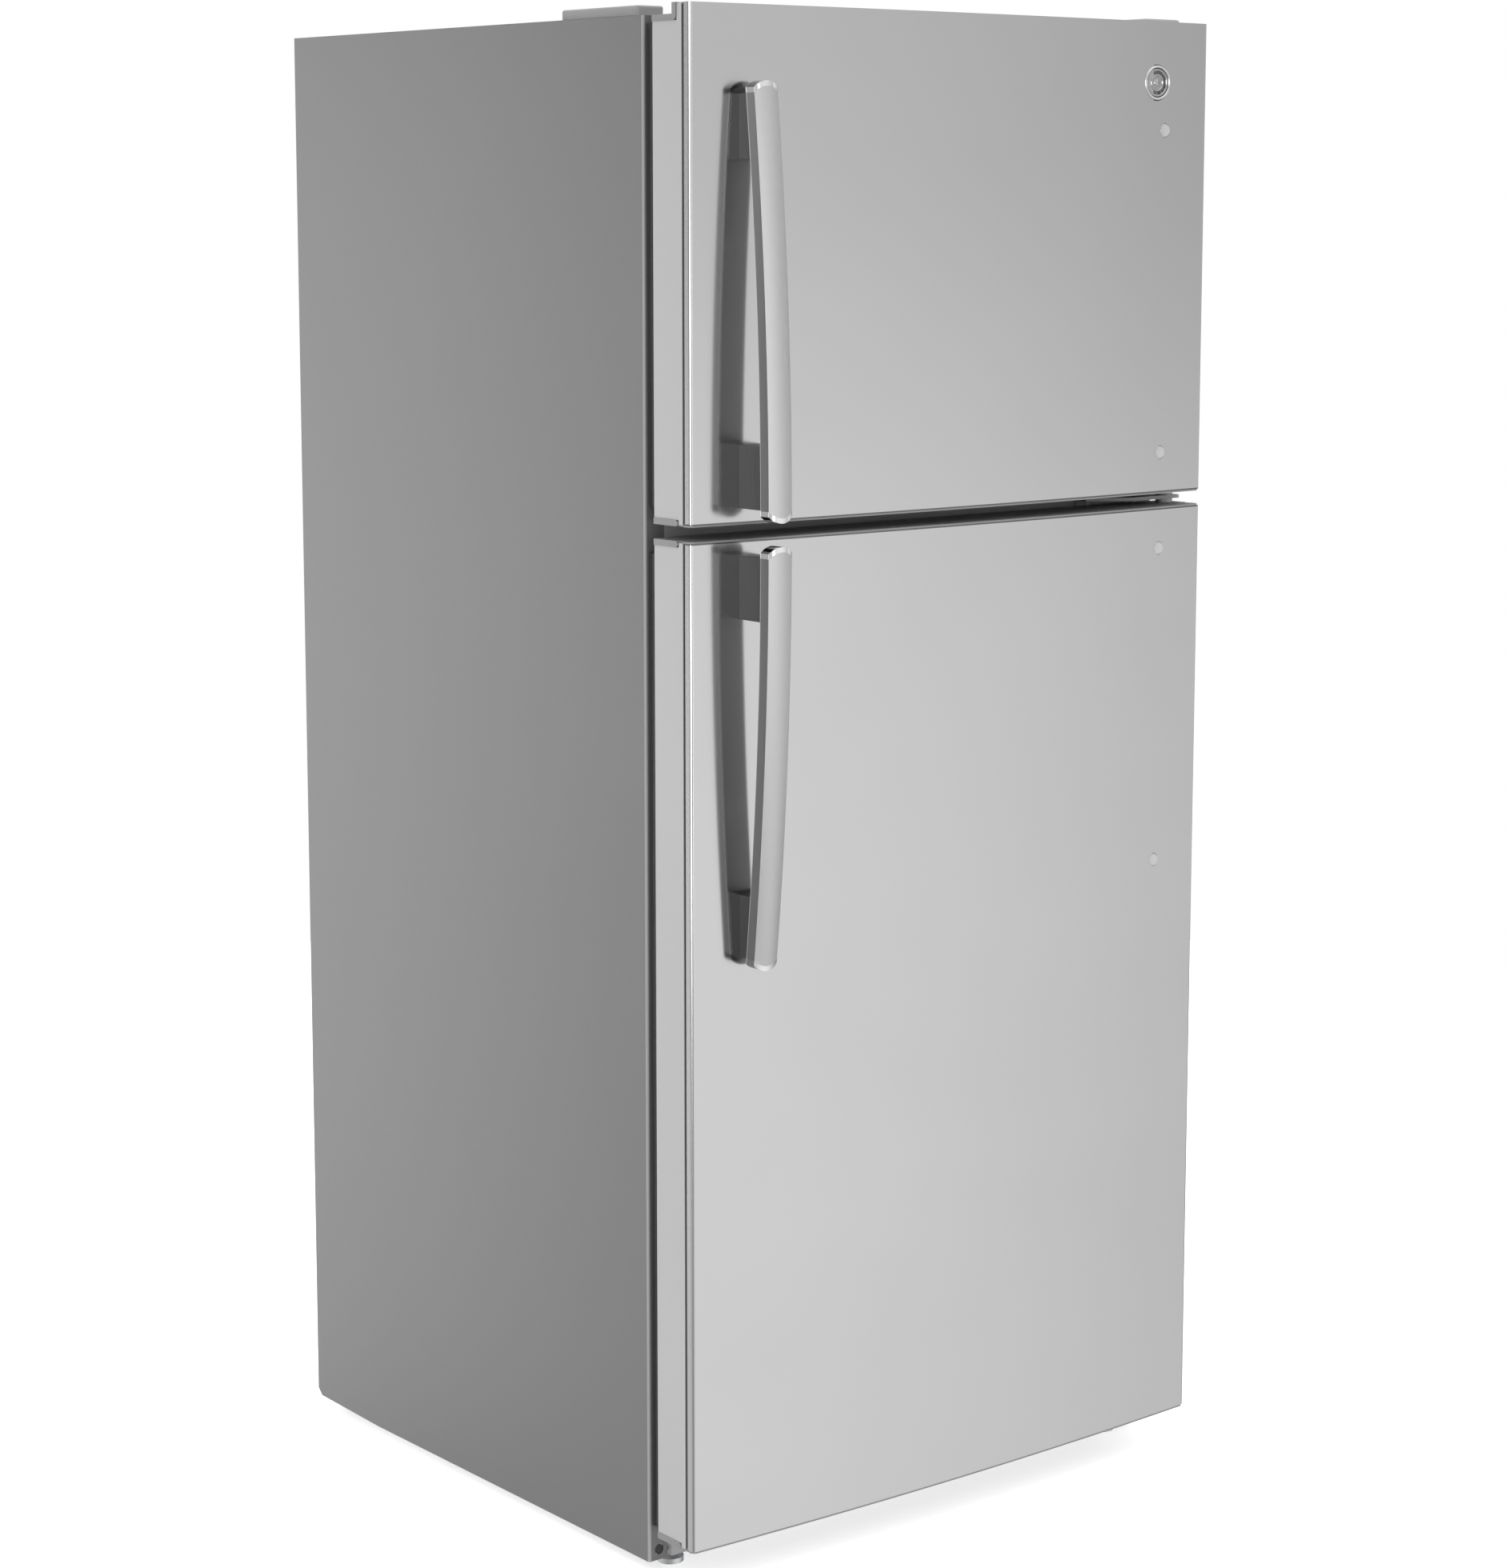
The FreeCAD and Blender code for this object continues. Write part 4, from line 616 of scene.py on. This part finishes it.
def dial_marks(node):
    """Pale pointer on a temperature dial, and the scale of short bars on the housing round it."""
    low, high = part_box(node)
    centre = (low + high) / 2
    outer = (high.x - low.x) / 2
    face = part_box("control_housing")[0].y

    def ray(work, angle, start, stop, back, front):
        """A bar that points away from the dial's centre, between two distances from it."""
        out = Vector((math.sin(angle), 0, math.cos(angle)))
        side = Vector((math.cos(angle), 0, -math.sin(angle))) * STROKE
        foot = Vector((centre.x, 0, centre.z))
        ends = [foot + out * start - side, foot + out * start + side, foot + out * stop + side * 0.7,
                foot + out * stop - side * 0.7]
        rear = [work.verts.new((p.x, back, p.z)) for p in ends]
        fore = [work.verts.new((p.x, front, p.z)) for p in ends]
        work.faces.new(rear)
        work.faces.new(fore)
        for i in range(4):
            j = (i + 1) % 4
            work.faces.new((rear[i], rear[j], fore[j], fore[i]))

    def pointer(work):
        ray(work, 0, outer * 0.35, outer * 0.82, low.y + MARK_SUNK, low.y - 0.3 * MM)

    def scale(work):
        first = -SCALE_STEP * (SCALE_BARS - 1) / 2
        for k in range(SCALE_BARS):
            ray(work, math.radians(first + SCALE_STEP * k), outer + 2 * MM, outer + 5.5 * MM,
                face + MARK_SUNK, face - MARK_SUNK)

    new_piece(node + "_pointer", pointer, node, "white_plastic", smooth_angle=30)
    new_piece(node + "_scale", scale, "cabinet", "cap_grey", smooth_angle=30,
              finish=SLOT_MATERIALS["motor_dark"])


SEAM_SHADE_INNER, SEAM_SHADE_OUTER = 2.0 * MM, 0.9 * MM     # dark strips of painted shade in the seams, in from the cabinet's sides


def seam_shade_strips(prefix):
    """Dark strip of painted shade in the groove between the painted side strip and the steel front's
    folded edge.
    """
    trim_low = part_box(prefix + "_side_trims")[0]
    skin_lowest, skin_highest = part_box(prefix + "_skin")
    depths = sorted((trim_low.y + 0.1 * MM, skin_highest.y - 0.1 * MM))
    heights = (skin_lowest.z + 2 * MM, skin_highest.z - 2 * MM)
    for side, word in ((-1, "left"), (1, "right")):
        across = sorted((side * (HALF - SEAM_SHADE_INNER), side * (HALF - SEAM_SHADE_OUTER)))
        new_piece(f"{prefix}_seam_{word}", lambda work, x=across: bar_of(work, x, depths, heights),
                  prefix, "gasket_dark")


# ---------------------------------------------------------------- stage, light and camera
FLOOR_RADIUS = 3.0
FLOOR_LIFT = 0.35           # lightens the floor for the camera alone, so the shadow stays faint
FLOOR_GLOW = 0.25           # lightens it for everything around


def stage():
    """Round pale floor under the object; it and the backdrop read as plain white."""
    mesh = bpy.data.meshes.new("floor")
    work = bmesh.new()
    bmesh.ops.create_circle(work, cap_ends=True, segments=96, radius=FLOOR_RADIUS)
    work.to_mesh(mesh)
    work.free()
    floor = bpy.data.objects.new("floor", mesh)
    scene.collection.objects.link(floor)
    paper = Shader("floor_paper", grey(0.96), 0.95)
    paper.vary_color(paper.noise(2), 0.004)
    paper.base.inputs["Specular IOR Level"].default_value = 0.1
    paper.base.inputs["Emission Color"].default_value = (1, 1, 1, 1)
    seen = paper.nodes.new("ShaderNodeLightPath").outputs["Is Camera Ray"]
    lift = math_node(paper.tree, "MULTIPLY_ADD", seen, FLOOR_LIFT, FLOOR_GLOW)
    paper.links.new(lift, paper.base.inputs["Emission Strength"])
    floor.data.materials.append(paper.material)
    floor.visible_glossy = False


ROOM_BASE = 0.13            # light that comes from everywhere
ROOM_LOBES = (              # softboxes at a distance: (towards x, towards y), level, how narrow
    ((0.423, -0.906), 0.88, 3.0),   # in front, a little to the hinge side
    ((-0.788, 0.616), 0.50, 2.0),   # behind the left side
)
ROOM_UPPER = 0.66           # share of them left above eye level
CEILING = 1.20              # overhead softbox
FLOORWARD = 0.50            # light thrown back by the floor, as reflections see it
HORIZON = (-0.12, 0.08)     # heights between which the room changes to its upper level


def room_light():
    """White backdrop for the camera; for light and reflections, a soft room with a bright ceiling."""
    world = bpy.data.worlds.new("studio")
    scene.world = world
    world.use_nodes = True
    tree = world.node_tree
    nodes, links = tree.nodes, tree.links
    place = nodes.new("ShaderNodeTexCoord")
    around = ROOM_BASE
    for (x, y), level, narrow in ROOM_LOBES:
        toward = nodes.new("ShaderNodeVectorMath")
        toward.operation = "DOT_PRODUCT"
        toward.inputs[1].default_value = (x, y, 0)
        links.new(place.outputs["Generated"], toward.inputs[0])
        facing = math_node(tree, "MAXIMUM", toward.outputs["Value"], 0.0)
        lobe = math_node(tree, "POWER", facing, narrow)
        around = math_node(tree, "MULTIPLY_ADD", lobe, level, around)

    split = nodes.new("ShaderNodeSeparateXYZ")
    links.new(place.outputs["Generated"], split.inputs["Vector"])
    up = split.outputs["Z"]
    wall = smooth_span(tree, up, *HORIZON, 1.0, ROOM_UPPER)
    ceiling = math_node(tree, "MULTIPLY", math_node(tree, "MAXIMUM", up, 0.0), CEILING)
    floorward = math_node(tree, "MULTIPLY", math_node(tree, "MINIMUM", up, 0.0), -FLOORWARD)
    level = math_node(tree, "MULTIPLY_ADD", around, wall, math_node(tree, "ADD", ceiling, floorward))

    mix = nodes.new("ShaderNodeMix")
    mix.data_type = "FLOAT"
    links.new(nodes.new("ShaderNodeLightPath").outputs["Is Camera Ray"], mix.inputs["Factor"])
    links.new(level, mix.inputs["A"])
    mix.inputs["B"].default_value = 1.0
    background = nodes["Background"]
    background.inputs["Color"].default_value = (1, 1, 1, 1)
    links.new(mix.outputs["Result"], background.inputs["Strength"])


def area_light(name, place, target, size, power, reflections_only=False):
    """Rectangular softbox of a size and power in watts, turned to a target."""
    data = bpy.data.lights.new(name, "AREA")
    data.shape = "RECTANGLE"
    data.size, data.size_y = size
    data.energy = power
    light = bpy.data.objects.new(name, data)
    light.location = place
    light.rotation_euler = (Vector(target) - Vector(place)).to_track_quat("-Z", "Y").to_euler()
    light.visible_diffuse = not reflections_only
    scene.collection.objects.link(light)


def lights():
    """Softboxes round the object; the two at its sides show only in reflections."""
    area_light("rear_left_fill", (-2.3, 3.9, 0.35), (-0.38, 0.3, 0.35), (1.6, 3.7), 56)
    area_light("front_strip", (-0.35, -5.0, 1.2), (-0.3, -0.4, 1.0), (0.7, 3.0), 11)
    area_light("left_softbox", (-4.6, -3.0, 1.3), (-0.38, -0.3, 0.9), (3.4, 3.4), 150, True)
    area_light("right_softbox", (4.6, -1.4, 1.3), (-0.3, -0.4, 0.9), (2.2, 3.4), 9, True)


EYE = (-2.588, FRONT - 2.940, 1.508)
HEADING = math.radians(38.72)       # to the right of straight on
DIP = math.radians(-8.06)
LENS = 79.93                        # millimetres, on a 36 mm wide sensor
SHIFT = -0.06


def camera():
    """Eye at about the freezer door's height, to the left of the doors."""
    data = bpy.data.cameras.new("camera")
    data.sensor_width = 36
    data.lens = LENS
    data.shift_y = SHIFT
    eye = bpy.data.objects.new("camera", data)
    eye.location = EYE
    eye.rotation_euler = (math.pi / 2 + DIP, 0, -HEADING)
    scene.collection.objects.link(eye)
    scene.camera = eye


dress_cad()
door_badge()
plugs()
foot_plugs()
for door in ("freezer_door", "fresh_food_door"):
    gasket(door)
for dial in ("freezer_dial", "fresh_food_dial"):
    dial_marks(dial)
for door in ("freezer_door", "fresh_food_door"):
    seam_shade_strips(door)
stage()
room_light()
lights()
camera()
